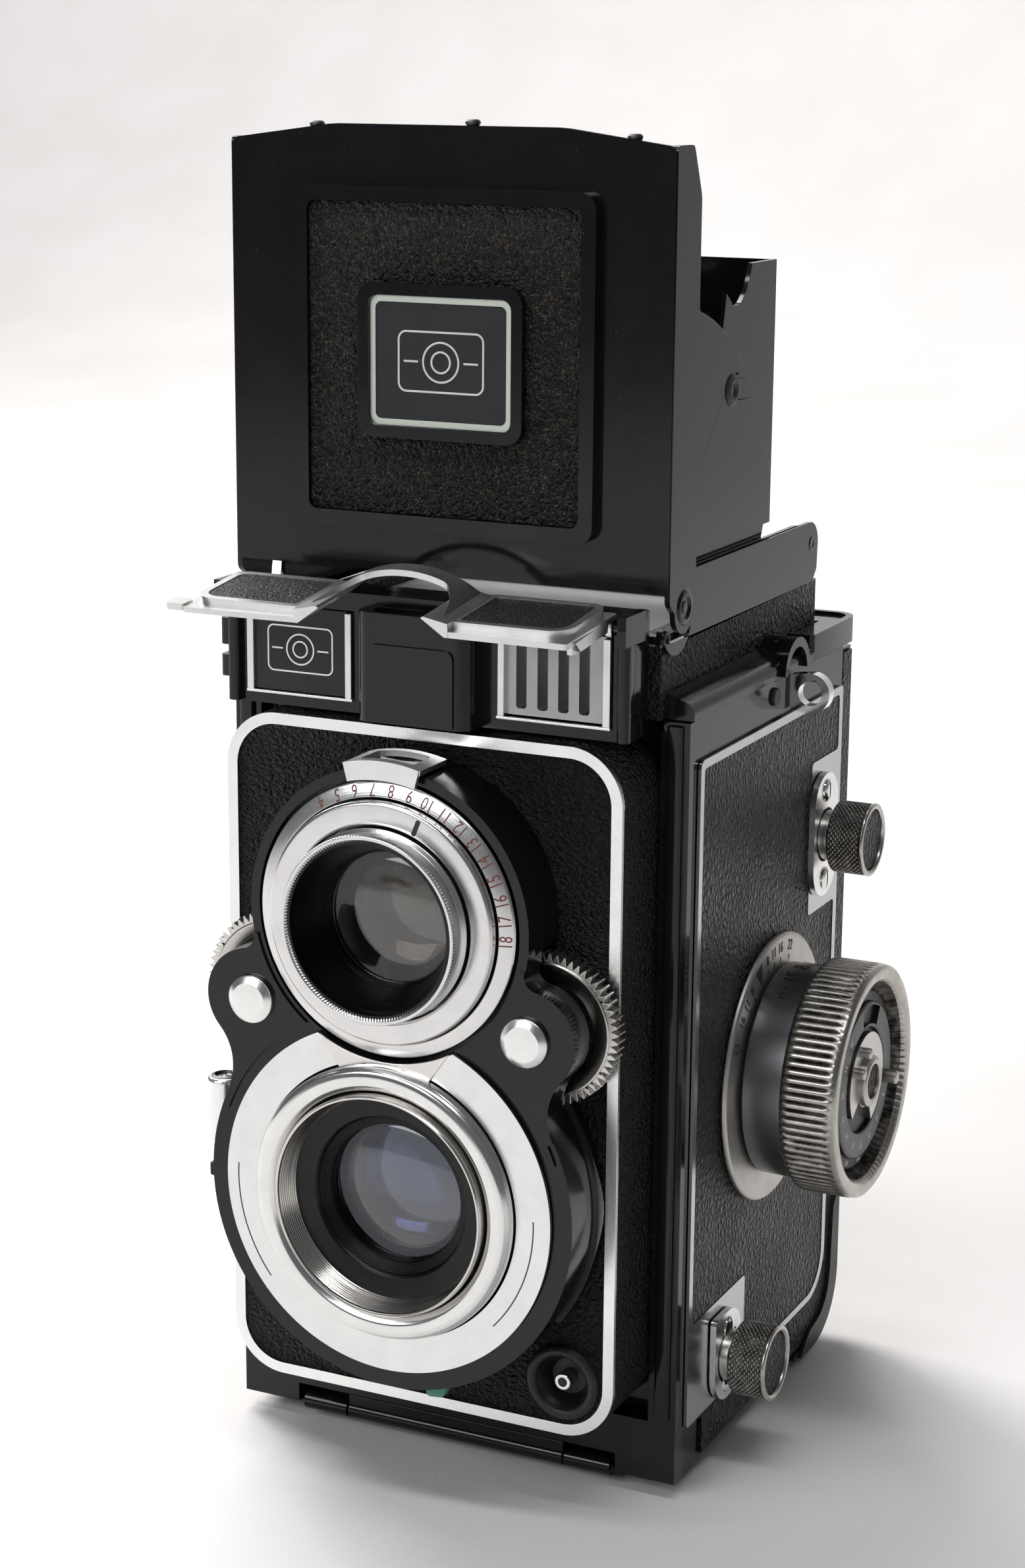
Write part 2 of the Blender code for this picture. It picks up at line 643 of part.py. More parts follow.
def make_lens_shell():
    """The black front cover of the shutter, in a figure of eight with two wings."""
    shell = plate("lens_shell", [waist_outline()], -0.7, SHELL_FRONT, (0, 0, 0), FRONT, paint())
    wings = plate("wings", [wing_outline()], 5.6, SHELL_FRONT, (0, 0, 0), FRONT)
    join(shell, wings)
    cut(
        shell,
        rod("view_bore", 15.3, -5, 15, (0, 0, VIEW_Z), FRONT, 32),
        rod("take_bore", 22.3, -5, 15, (0, 0, TAKE_Z), FRONT, 36),
        rod("scale_recess", 22.1, 8.4, 15, (0, 0, VIEW_Z), FRONT, 38),
        *[rod("wheel_pocket", 12.7, 0.4, 5.0, (x, 0, HUB_Z), FRONT, 28) for x in (-HUB_X, HUB_X)],
        *[rod("wheel_bore", 1.6, 0, 15, (x, 0, HUB_Z), FRONT, 16) for x in (-HUB_X, HUB_X)],
        plate("lever_slot", [lever_sweep()], 1.0, 4.0, (0, 0, TAKE_Z), FRONT),
    )
    return shell


def lever_sweep():
    return arc((0, 0), 26.0, -135, -60, 8) + arc((0, 0), 33.0, -60, -135, 8)


def make_sync_lever():
    """The flash lever, an arc in the shell's slot with two tips that stand out below."""
    outline = arc((0, 0), 27.0, -100, -72, 5) + arc((0, 0), 30.6, -72, -74, 1) + arc((0, 0), 34.6, -75, -77.5, 1)
    outline += arc((0, 0), 31.8, -78.5, -80, 1) + arc((0, 0), 35.2, -80, -86, 2) + arc((0, 0), 30.6, -87, -100, 3)
    return plate("sync_lever", [outline], 1.4, 3.4, (0, 0, TAKE_Z), FRONT,
                 material("lever_green", (0.08, 0.3, 0.2), 0.4))


def make_view_lens():
    profile = [(14.1, 17.3), (14.6, 16.9), (14.6, 13.6), (15.2, 13.3), (18.5, 13.3), (18.8, 13.0), (18.8, 8.8),
               (14.9, 8.8), (14.9, -5.0), (13.0, -5.0), (9.2, -3.0), (9.2, 5.9), (10.8, 5.9), (10.8, 10.0), (12.9, 16.8)]
    turned("view_tube", profile, (0, 0, VIEW_Z), FRONT, satin(), 28, True)
    lens = [(0, 10.6), (4.5, 10.3), (8.0, 9.4), (10.4, 8.2), (10.4, 6.3), (0, 6.3)]
    turned("view_glass", lens, (0, 0, VIEW_Z), FRONT, glass(), 24)


def make_light_value_ring():
    profile = [(19.3, 11.4), (21.3, 11.2), (21.6, 10.9), (21.6, 8.8), (19.2, 8.8), (19.2, 11.2)]
    return turned("light_value_ring", profile, (0, 0, VIEW_Z), FRONT, satin(), 32, True)


def make_mask_ring():
    """The bright ring round the taking lens, with a saddle up to the viewing lens."""
    ring = plate("mask_ring", [circle((0, TAKE_Z), 28.0, 40)], SHELL_FRONT + GAP, 11.6, (0, 0, 0), FRONT, satin())
    saddle = [(15.6, 52.0), (11.4, 66.6), (-11.4, 66.6), (-15.6, 52.0)]
    join(ring, plate("saddle", [saddle], SHELL_FRONT + GAP, 11.6, (0, 0, 0), FRONT))
    cut(
        ring,
        rod("mask_bore", 22.35, 0, 20, (0, 0, TAKE_Z), FRONT, 36),
        rod("scale_clear", 22.4, 0, 20, (0, 0, VIEW_Z), FRONT, 38),
    )
    return ring


def make_take_lens():
    profile = [(19.6, 14.4), (21.4, 14.1), (21.8, 13.7), (21.8, -2.0), (15.0, -2.0), (11.0, 0.5), (11.0, 4.6),
               (11.7, 4.6), (11.7, 8.2), (16.6, 11.0), (17.4, 14.0), (18.0, 14.4), (18.0, 12.6), (19.6, 12.6)]
    turned("take_tube", profile, (0, 0, TAKE_Z), FRONT, satin(), 28, True)
    lens = [(0, 8.4), (5.0, 8.1), (9.0, 7.2), (11.3, 6.4), (11.3, 5.0), (0, 5.0)]
    turned("take_glass", lens, (0, 0, TAKE_Z), FRONT, glass(), 24)


def make_shutter_case():
    """The back of the shutter and of the taking lens, inside the body."""
    profile = [(23.6, -2.9), (23.6, -14.0), (16.0, -14.0), (14.5, -20.0), (9.0, -20.0), (9.0, -5.0), (15.0, -3.0),
               (15.0, -2.9)]
    return turned("shutter_case", profile, (0, 0, TAKE_Z), FRONT, paint(), 24, True)


def make_flash_socket():
    profile = [(0, 0.3), (1.2, 0.3), (1.2, -3.4), (3.5, -3.4), (4.6, 0.9), (5.4, 0.9), (6.2, 0.4), (6.2, -0.7),
               (4.1, -0.7), (4.1, -4.5), (0, -4.5)]
    return turned("flash_socket", profile, (25.2, 0, 8.9), FRONT, paint(), 20)


def make_value_window():
    """The window frame over the value scale, read from above."""
    outer = arc((0, VIEW_Z), 24.9, 75.5, 104.5, 5) + arc((0, VIEW_Z), 24.0, 104.5, 75.5, 5)
    face = arc((0, VIEW_Z), 24.9, 75.5, 104.5, 5) + arc((0, VIEW_Z), 21.95, 104.5, 75.5, 5)
    window = plate("value_window", [outer], 3.4, 12.0, (0, 0, 0), FRONT, satin())
    join(window, plate("window_face", [face], 11.7, 12.5, (0, 0, 0), FRONT))
    return cut(window, block("window_hole", (-4.6, -10.6, 105.0), (4.6, -4.6, 112.0)))


def make_setting_wheel(name, side):
    """A toothed setting wheel behind its wing, with its bright hub disc in front."""
    at = (side * HUB_X, 0, HUB_Z)
    wheel = plate(name, [toothed(12.0, 10.9, 30)], 1.2, 4.2, at, FRONT, nickel())
    hub = turned("hub", [(0, 12.3), (3.3, 12.3), (3.8, 11.9), (3.8, 10.9), (1.3, 10.9), (1.3, 3.0), (0, 3.0)],
                 at, FRONT, None, 16)
    return join(wheel, hub)




def make_release():
    """The release button on its guide stem, beside the lens board."""
    bracket = block("release_bracket", (-39.4, 1.0, 31.0), (-BOARD_HALF - GAP, 5.0, 34.0), paint())
    join(bracket, rod("stem", 1.2, 33.0, 41.5, (*RELEASE, 0), TOP, 16))
    profile = [(0, 46.4), (1.4, 46.4), (1.6, 48.2), (2.4, 48.6), (2.9, 48.1), (2.9, 38.0), (1.6, 38.0), (1.6, 45.4), (0, 45.4)]
    turned("release_button", profile, (*RELEASE, 0), TOP, satin(), 24)


# ---------------------------------------------------------------- knobs, dials and spools


def make_focus_knob():
    """The focus knob: a scale drum, a ribbed grip and a shaft into the body."""
    at = (0, *FOCUS)
    profile = [(0, 54.8), (15.6, 54.8), (16.2, 57.6), (18.6, 57.9), (19.0, 57.5), (19.0, 56.6), (18.2, 56.4), (18.2, 48.6),
               (17.6, 48.4), (17.4, 41.6), (3.0, 41.6), (3.0, 34.0), (0, 34.0)]
    knob = turned("focus_knob", profile, at, SIDE, nickel(), 32)
    grip = plate("grip", [toothed(19.2, 18.6, 30), circle((0, 0), 17.0, 20)], 48.8, 56.4, at, SIDE)
    return join(knob, grip)


def make_film_dial():
    """The reminder dial on the knob's face, with the pegs that turn it."""
    at = (0, *FOCUS)
    profile = [(0, 57.9), (3.4, 57.9), (3.9, 57.4), (3.9, 56.2), (14.6, 56.2), (15.0, 55.9), (15.0, 55.15), (0, 55.15)]
    dial = turned("film_dial", profile, at, SIDE, paint(), 20)
    pegs = [rod("peg", 1.1, 55.8, 58.2, (0, FOCUS[0] + r * math.cos(a), FOCUS[1] + r * math.sin(a)), SIDE, 12)
            for r, a in ((11.5, -0.25), (6.0, 2.0), (6.0, 2.9))]
    return join(dial, *pegs)


def make_focus_scale_disc():
    profile = [(17.2, 41.2), (21.6, 40.8), (22.3, 40.4), (22.3, 40.1), (3.6, 40.1), (3.6, 41.2)]
    return turned("focus_scale_disc", profile, (0, *FOCUS), SIDE, nickel(), 28, True)


def make_knob_plate(name, centre, half_length, at_x):
    """The bright plate under a film knob, with its two screws."""
    y, z = centre
    outline = rounded(y - 5.6, y + 5.6, z - half_length, z + half_length, 5.5, 5)
    made = plate(name, [outline], at_x, at_x + 1.0, (0, 0, 0), SIDE, satin())
    screws = [turned("screw", [(0, 1.7), (1.6, 1.5), (2.1, 0.6), (0, 0.6)], (at_x, y, z + s * (half_length - 2.9)), SIDE, None, 16)
              for s in (-1, 1)]
    join(made, *screws)
    return cut(made, rod("bore", 4.6, at_x - 2, at_x + 3, (0, *centre), SIDE, 24))


def make_film_knob(prefix, centre):
    """A film knob that pulls out on its collar to free the spool, and turns."""
    at = (0, *centre)
    collar = [(4.2, 42.9), (4.2, 34.4), (2.9, 34.4), (2.9, 42.9)]
    turned(prefix + "_collar", collar, at, SIDE, nickel(), 18, True)
    knob = [(0, 48.9), (5.1, 48.9), (5.3, 49.4), (5.8, 49.4), (6.1, 49.1), (6.1, 43.6), (5.7, 43.2), (2.5, 43.2), (2.5, 31.8),
            (1.8, 31.5), (0, 31.5)]
    turned(prefix + "_knob", knob, at, SIDE, nickel(), 18)


def make_spool(name, centre, reach):
    """A film spool, with blind sockets in its ends for the spindles."""
    profile = [(0, SPOOL_HALF - 1.6), (2.2, SPOOL_HALF - 1.6), (2.2, SPOOL_HALF), (SPOOL_R, SPOOL_HALF), (SPOOL_R, SPOOL_HALF - 0.8),
               (5.6, SPOOL_HALF - 0.8), (5.6, -SPOOL_HALF + 0.8), (SPOOL_R, -SPOOL_HALF + 0.8), (SPOOL_R, -SPOOL_HALF),
               (2.2, -SPOOL_HALF), (2.2, -SPOOL_HALF + reach), (0, -SPOOL_HALF + reach)]
    return turned(name, profile, (0, *centre), SIDE, paint(), 20)


def make_advance_knob():
    """The winding knob on the other side, whose shaft turns the upper spool."""
    at = (0, *TAKEUP)
    profile = [(0, -30.5), (1.8, -30.5), (1.8, -34.0), (2.8, -34.2), (2.8, -41.4), (10.6, -41.6), (10.9, -42.2), (10.9, -44.2),
               (10.2, -44.6), (10.2, -54.0), (10.9, -54.4), (10.9, -56.8), (10.2, -57.5), (8.6, -57.5), (8.4, -57.0), (0, -57.0)]
    return turned("advance_knob", profile, at, SIDE, nickel(), 20)


# ---------------------------------------------------------------- door


def door_outline(inset):
    """The door's side view: up the back, round the lower corner and along the foot."""
    back, foot, radius = DOOR_BACK - inset, DOOR_FOOT + inset, DOOR_R - inset
    corner = arc((DOOR_BACK - DOOR_R, DOOR_FOOT + DOOR_R), radius, -90, 0, 6)
    return [(16.0, foot)] + corner + [(back, DOOR_TOP)]


def make_back_door():
    """The back and the bottom in one hinged piece, a shallow pan round the film chamber."""
    rim_back, rim_foot = BODY_BACK + 0.5, SIDE_FOOT - 0.5
    rim = [(rim_back, DOOR_TOP)] + [(rim_back, -0.5)] + arc((rim_back - 8.0, rim_foot + 8.0), 8.0, 0, -90, 5)[1:] + [(16.0, rim_foot)]
    door = plate("back_door", [door_outline(0) + rim], -DOOR_HALF, DOOR_HALF, (0, 0, 0), SIDE, leather())
    pan = door_outline(1.2)[1:-1]
    pan = [(17.4, DOOR_FOOT + 1.2)] + pan + [(DOOR_BACK - 1.2, DOOR_TOP - 1.2), (70.0, DOOR_TOP - 1.2), (60, 8), (17.4, 4)]
    cut(door, plate("pan", [pan], -DOOR_HALF + 1.6, DOOR_HALF - 1.6, (0, 0, 0), SIDE))
    knuckles = [rod("knuckle", 1.6, *ends, (0, *HINGE), SIDE, 16) for ends in ((20.0, 28.0), (-28.0, -20.0))]
    leaves = [block("leaf", (min(a, b), HINGE[0] + 0.4, HINGE[1] - 0.5), (max(a, b), 17.0, HINGE[1] + 1.1))
              for a, b in ((20.0, 28.0), (-28.0, -20.0))]
    feet = [block("front_foot", (side * 33.5 - 3.0, 17.5, -ORIGIN_Z), (side * 33.5 + 3.0, 23.0, DOOR_FOOT + 0.6))
            for side in (-1, 1)]
    join(door, *knuckles, *leaves, *feet)
    return cut(door, rod("pin_way", 0.9, -30, 30, (0, *HINGE), SIDE, 12),
               rod("bush_way", 6.3, -12, -4, (0, 46.0, 0), TOP, 24))


def make_hinge_barrel():
    """The body's long knuckle, with the hinge pin through it."""
    barrel = rod("hinge_barrel", 1.6, -19.7, 19.7, (0, *HINGE), SIDE, 16)
    barrel.data.materials.append(paint())
    leaf = block("barrel_leaf", (-19.7, 12.4, HINGE[1]), (19.7, 14.6, BODY_FOOT + 3.0))
    return join(barrel, leaf, rod("hinge_pin", 0.6, -27.6, 27.6, (0, *HINGE), SIDE, 12))


def make_tripod_bush():
    """The threaded bush, let into the door's foot."""
    profile = [(0, -4.6), (6.0, -4.6), (6.0, DOOR_FOOT - 0.6), (4.6, DOOR_FOOT - 0.6), (4.6, -6.0), (0, -6.0)]
    return turned("tripod_bush", profile, (0, 46.0, 0), TOP, nickel(), 28)


def make_corner_guard(name, side):
    """The guard round a lower back corner, which is also a rear foot."""
    out, thick = GAP, 1.0
    centre = (DOOR_BACK - DOOR_R, DOOR_FOOT + DOOR_R)
    outer = [(68.5, DOOR_FOOT - out - thick)] + arc(centre, DOOR_R + out + thick, -90, 0, 6) + [(DOOR_BACK + out + thick, 14.0)]
    inner = [(68.5, DOOR_FOOT - out)] + arc(centre, DOOR_R + out, -90, 0, 6) + [(DOOR_BACK + out, 14.0)]
    low = 32.0 if side > 0 else -DOOR_HALF
    guard = plate(name, [outer + list(reversed(inner))], low, low + DOOR_HALF - 32.0, (0, 0, 0), SIDE, paint())
    foot = block("rear_foot", (side * 35.5 - 2.6, 70.0, -ORIGIN_Z), (side * 35.5 + 2.6, 76.0, DOOR_FOOT - out - 0.5))
    return join(guard, foot)


def make_pressure_plate():
    plate_low = TAKE_Z - 33.0
    pressure = block("pressure_plate", (-31.4, 78.2, plate_low), (31.4, 79.2, plate_low + 66.0), nickel())
    spring = block("leaf_spring", (-6.0, 79.0, TAKE_Z - 14.0), (6.0, DOOR_BACK - 1.2 - GAP, TAKE_Z + 14.0))
    return join(pressure, spring)


def make_back_latch():
    """The catch at the top of the door, which slides up to open it."""
    latch = block("back_latch", (-7.5, DOOR_BACK + GAP, 98.0), (7.5, DOOR_BACK + 1.8, 107.6), nickel(), edge=0.5)
    return join(latch, block("thumb_rib", (-6.0, DOOR_BACK + 1.4, 99.4), (6.0, DOOR_BACK + 2.7, 101.0)))


# ---------------------------------------------------------------- assembly


def main():
    make_body_shell()
    make_top_cover()
    for side, word in ((1, "right"), (-1, "left")):
        make_side_trim("side_trim_" + word, side)
        make_strap_lug("strap_lug_" + word, side)
        make_sector("sector_" + word, side)
        make_corner_guard("corner_guard_" + word, side)
    make_film_gate()
    make_mirror_box()
    make_reflex_mirror()
    make_ground_glass()
    make_finder_housing()
    make_hood_base()
    make_hood_lid()
    make_emblem_frame()
    make_hood_rear()
    make_magnifier()
    make_meter_housing()
    make_meter_window()
    make_name_plate()
    make_meter_flap()
    make_lens_board()
    make_board_trim()
    make_focus_shroud()
    make_lens_shell()
    make_sync_lever()
    make_view_lens()
    make_light_value_ring()
    make_mask_ring()
    make_take_lens()
    make_shutter_case()
    make_flash_socket()
    make_value_window()
    make_setting_wheel("speed_wheel", 1)
    make_setting_wheel("aperture_wheel", -1)
    make_release()
    make_focus_knob()
    make_film_dial()
    make_focus_scale_disc()
    make_knob_plate("takeup_plate", TAKEUP, 10.6, BODY_HALF + 0.15 + TRIM + GAP)
    make_knob_plate("supply_plate", SUPPLY, 7.6, BODY_HALF + 0.15 + TRIM + GAP)
    make_film_knob("takeup", TAKEUP)
    make_film_knob("supply", SUPPLY)
    make_spool("takeup_spool", TAKEUP, 2.4)
    make_spool("supply_spool", SUPPLY, 1.6)
    make_advance_knob()
    make_back_door()
    make_hinge_barrel()
    make_tripod_bush()
    make_pressure_plate()
    make_back_latch()


clear_scene()
PARTS = new_collection(OBJECT)
TOOLS = new_collection("cutters")
CAMERA = bpy.data.objects.new("camera_origin", None)
CAMERA.location = Vector((0.0, ORIGIN_Y, ORIGIN_Z)) * MM
bpy.context.scene.collection.objects.link(CAMERA)
main()
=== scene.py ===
"""Looks of the twin lens reflex camera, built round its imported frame.

Pieces are made in millimetres, measured from the foot of the lens board's front face: x to the focus
knob's side, y back, z up. SHIFT takes them to the frame's own origin.
"""

import math

import bmesh
import bpy
from mathutils import Euler, Matrix, Vector


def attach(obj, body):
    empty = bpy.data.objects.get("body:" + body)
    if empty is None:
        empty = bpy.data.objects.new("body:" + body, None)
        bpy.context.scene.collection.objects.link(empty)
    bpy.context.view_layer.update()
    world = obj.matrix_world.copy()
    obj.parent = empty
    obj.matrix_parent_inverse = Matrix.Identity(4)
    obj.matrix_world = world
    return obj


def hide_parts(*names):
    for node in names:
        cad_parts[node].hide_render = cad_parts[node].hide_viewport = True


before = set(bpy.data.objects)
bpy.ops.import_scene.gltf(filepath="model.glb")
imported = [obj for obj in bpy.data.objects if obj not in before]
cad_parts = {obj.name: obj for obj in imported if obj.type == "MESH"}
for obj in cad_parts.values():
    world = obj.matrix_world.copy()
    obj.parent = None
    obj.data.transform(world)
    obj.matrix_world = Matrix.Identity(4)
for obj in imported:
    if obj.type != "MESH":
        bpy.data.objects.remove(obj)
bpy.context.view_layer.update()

MM = 0.001
SHIFT = Vector((0.0, -35.5, 14.0))

# Frames: FRONT has its local z forward (-Y), SIDE its local x back (+Y) and local z to +X
TOP = Matrix.Identity(3)
FRONT = Matrix.Rotation(math.radians(90), 3, "X")
SIDE = Euler((math.radians(90), 0, math.radians(90))).to_matrix()

TAKE_Z = 38.5
VIEW_Z = 83.2
HUB_X, HUB_Z = 23.4, 67.6
TAKEUP = (68.7, 82.9)
SUPPLY = (29.6, 4.8)
FOCUS = (48.5, 48.2)
HINGE = (13.5, -10.9)
VIEW_AT, TAKE_AT = (0, 0, VIEW_Z), (0, 0, TAKE_Z)
FOCUS_AT, TAKEUP_AT, SUPPLY_AT, HINGE_AT = (0, *FOCUS), (0, *TAKEUP), (0, *SUPPLY), (0, *HINGE)
SOCKET_AT = (25.2, 0, 8.9)
RELEASE_AT = (-37.0, 3.0, 0)
BUSH_Y = 46.0
VIEW_SHELL_R, TAKE_SHELL_R = 23.6, 31.2
FOCUS_RIBS = 88
LID_PIVOT = (15.0, 130.0)
LEAF_PIVOT = (39.0, 159.7)
LID_FACE = 8.84
FLAP_AXIS = (-0.4, 128.9)
FLAP_TIP = 7.0
MAGNIFIER = (12.6, 193.6)
SIDES = ((1, "right"), (-1, "left"))

# Camera: azimuth, elevation and roll in degrees, place in metres, lens for a 36 mm sensor
CAMERA_ANGLES = (25.581, 13.869, 0.434)
CAMERA_AT = (0.202447, -0.425578, 0.224528)
CAMERA_LENS = 68.42


# ---------------------------------------------------------------- materials


class Look:
    """A procedural material, built up node by node."""

    def __init__(self, name, colour, roughness, metallic=0.0, **sockets):
        self.material = bpy.data.materials.new(name)
        self.material.use_nodes = True
        self.tree = self.material.node_tree
        self.shader = self.tree.nodes["Principled BSDF"]
        self.set("Base Color", (*colour, 1.0))
        self.set("Roughness", roughness)
        self.set("Metallic", metallic)
        for socket, value in sockets.items():
            self.set(socket.replace("_", " "), value)

    def set(self, socket, value):
        self.shader.inputs[socket].default_value = value

    def node(self, kind, inputs=(), **settings):
        made = self.tree.nodes.new("ShaderNode" + kind)
        for name, value in settings.items():
            setattr(made, name, value)
        for key, value in dict(inputs).items():
            if isinstance(value, bpy.types.NodeSocket):
                self.tree.links.new(value, made.inputs[key])
            else:
                made.inputs[key].default_value = value
        return made

    def place(self, scale=(1, 1, 1), centre=(0, 0, 0)):
        """Coordinates fixed to the piece, in millimetres from a point of the camera."""
        coords = self.node("TexCoord").outputs["Object"]
        off = -(Vector(centre) + SHIFT)
        vector = [s / MM for s in scale]
        where = [o * s for o, s in zip(off, scale)]
        return self.node("Mapping", {"Vector": coords, "Location": where, "Scale": vector}).outputs[0]

    def noise(self, vector, scale, detail=2.0, rough=0.5, **more):
        inputs = {"Vector": vector, "Scale": scale, "Detail": detail, "Roughness": rough}
        return self.node("TexNoise", inputs, **more).outputs["Fac"]

    def cells(self, vector, scale, feature="DISTANCE_TO_EDGE"):
        return self.node("TexVoronoi", {"Vector": vector, "Scale": scale},
                feature=feature).outputs["Distance"]

    def remap(self, value, low, high, to_low=0.0, to_high=1.0):
        inputs = {"Value": value, 1: low, 2: high, 3: to_low, 4: to_high}
        return self.node("MapRange", inputs).outputs[0]

    def math(self, operation, first, second=0.0):
        return self.node("Math", {0: first, 1: second}, operation=operation).outputs[0]

    def blend(self, factor, first, second):
        inputs = {"Factor": factor, 6: (*first, 1.0) if isinstance(first, tuple) else first,
                  7: (*second, 1.0) if isinstance(second, tuple) else second}
        return self.node("Mix", inputs, data_type="RGBA").outputs[2]

    def feed(self, socket, value):
        self.tree.links.new(value, self.shader.inputs[socket])
        return self

    def bump(self, height, distance, strength=1.0, below=None):
        inputs = {"Height": height, "Distance": distance * MM, "Strength": strength}
        if below is not None:
            inputs["Normal"] = below
        return self.node("Bump", inputs).outputs[0]

    def warp(self, vector, scale, amount):
        """Coordinates pushed about by a coarse noise, so that a pattern isn't regular."""
        push = self.node("TexNoise", {"Vector": vector, "Scale": scale, "Detail": 2.0}).outputs["Color"]
        centred = self.node("VectorMath", {0: push, 1: (0.5, 0.5, 0.5)}, operation="SUBTRACT").outputs[0]
        sized = self.node("VectorMath", {0: centred, 3: amount}, operation="SCALE").outputs[0]
        return self.node("VectorMath", {0: vector, 1: sized}, operation="ADD").outputs[0]


def enamel(name, colour=(0.006, 0.006, 0.0075), rough=(0.07, 0.15), dust=0.35):
    """Stoved black paint: a faint orange peel, cloudy wear in its gloss and a few specks of dust."""
    look = Look(name, colour, 0.25, Specular_IOR_Level=0.36)
    at = look.place()
    cloud = look.noise(at, 0.11, 5.0, 0.6)
    fine = look.noise(at, 0.55, 3.0)
    specks = look.remap(look.cells(at, 0.7, "F1"), 0.05, 0.075, 1.0, 0.0)
    rare = look.remap(look.noise(at, 0.35, 1.0), 0.56, 0.62)
    speck = look.math("MULTIPLY", look.math("MULTIPLY", specks, rare), dust)
    gloss = look.remap(cloud, 0.3, 0.7, *rough)
    look.feed("Roughness", look.math("ADD", gloss, look.math("MULTIPLY", speck, 0.4)))
    look.feed("Base Color", look.blend(speck, colour, (0.16, 0.15, 0.13)))
    return look.feed("Normal", look.bump(fine, 0.012, 0.5)).material


def leather(name, scale=1.0, tint=(0.017, 0.017, 0.019), glint_tint=None, stretch=(1, 1, 1), depth=0.5):
    """Pebbled leatherette: warped cells with creased valleys, finer creases on top, a worn sheen. The valleys
    are darkened with painted shade, and any warm flecks on the pebble rims are painted glints.
    """
    look = Look(name, tint, 0.5, Specular_IOR_Level=0.45)
    at = look.place(stretch)
    loose = look.warp(at, 0.9, 0.55)
    pebble = look.remap(look.cells(loose, 1.1 * scale), 0.0, 0.34)
    small = look.remap(look.cells(look.warp(at, 2.2, 0.3), 2.4 * scale), 0.0, 0.3)
    cloud = look.noise(at, 0.12, 4.0, 0.6)
    height = look.math("ADD", look.math("MULTIPLY", pebble, 0.72), look.math("MULTIPLY", small, 0.28))
    height = look.math("ADD", height, look.math("MULTIPLY", look.noise(at, 7.0, 2.0), 0.12))
    # Painted shade: the valleys between pebbles take a colour under half the tint, and the pebble tops keep
    # it
    dark = tuple(c * 0.45 for c in tint)
    colour = look.blend(height, dark, tint)
    # Painted glints: the worn patches here are not wear; where they meet the pebble rims the colour turns
    # warm brown to stand in for small highlights
    if glint_tint:
        worn = look.remap(look.noise(at, 2.6, 2.0), 0.53, 0.62)
        rim = look.remap(look.cells(loose, 1.1 * scale), 0.03, 0.12, 1.0, 0.0)
        colour = look.blend(look.math("MULTIPLY", worn, rim), colour, glint_tint)
    look.feed("Base Color", colour)
    gloss = look.math("SUBTRACT", look.remap(cloud, 0.3, 0.7, 0.5, 0.38), look.math("MULTIPLY", height, 0.16))
    look.feed("Roughness", gloss)
    return look.feed("Normal", look.bump(height, depth, 1.0)).material


def metal(name, colour, rough, grain=0.2, wear=0.5, stretch=(1, 1, 1), pits=(0.2, 0.19, 0.17)):
    """Plated or anodised metal: a fine satin grain, cloudy tarnish and small dark pits."""
    look = Look(name, colour, rough, 1.0)
    at = look.place(stretch)
    cloud = look.noise(at, 0.2, 5.0, 0.65)
    grainy = look.noise(at, 9.0, 2.0, 0.6)
    spots = look.remap(look.noise(at, 2.4, 3.0, 0.7), 0.66, 0.74)
    spots = look.math("MULTIPLY", look.math("MULTIPLY", spots, look.remap(cloud, 0.45, 0.65)), wear)
    dull = tuple(c * 0.93 for c in colour)
    tone = look.blend(look.remap(cloud, 0.3, 0.7), colour, dull)
    look.feed("Base Color", look.blend(spots, tone, pits))
    gloss = look.remap(look.math("ADD", look.math("MULTIPLY", cloud, 0.6),
            look.math("MULTIPLY", grainy, 0.4)),
                       0.3, 0.7, rough * 0.86, rough * 1.15)
    look.feed("Roughness", look.math("ADD", gloss, look.math("MULTIPLY", spots, 0.3)))
    return look.feed("Normal", look.bump(grainy, 0.02, grain)).material


def lathed(name, colour, rough, centre, axis, pitch=6.0, groove=0.35, aniso=0.0):
    """Metal turned on a lathe: fine circles about an axis, with sheen and tarnish that follow them."""
    look = Look(name, colour, rough, 1.0, Anisotropic=aniso)
    at = look.place((1, 1, 1), centre)
    split = look.node("SeparateXYZ", {0: at})
    first, second = {"Y": (0, 2), "X": (1, 2)}[axis]
    a, b = split.outputs[first], split.outputs[second]
    radius = look.math("SQRT", look.math("ADD", look.math("MULTIPLY", a, a), look.math("MULTIPLY", b, b)))
    circles = look.node("TexNoise", {"W": radius, "Scale": pitch, "Detail": 3.0},
            noise_dimensions="1D").outputs["Fac"]
    cloud = look.noise(at, 0.25, 4.0, 0.6)
    look.feed("Roughness", look.remap(look.math("ADD", look.math("MULTIPLY", circles, 0.5),
                                                look.math("MULTIPLY", cloud,
                                                        0.5)), 0.3, 0.7, rough * 0.85, rough * 1.18))
    look.feed("Base Color", look.blend(look.remap(cloud, 0.35, 0.7), colour, tuple(c * 0.93 for c in colour)))
    if aniso:
        look.feed("Tangent", look.node("Tangent", direction_type="RADIAL", axis=axis).outputs[0])
    return look.feed("Normal", look.bump(circles, 0.03, groove)).material


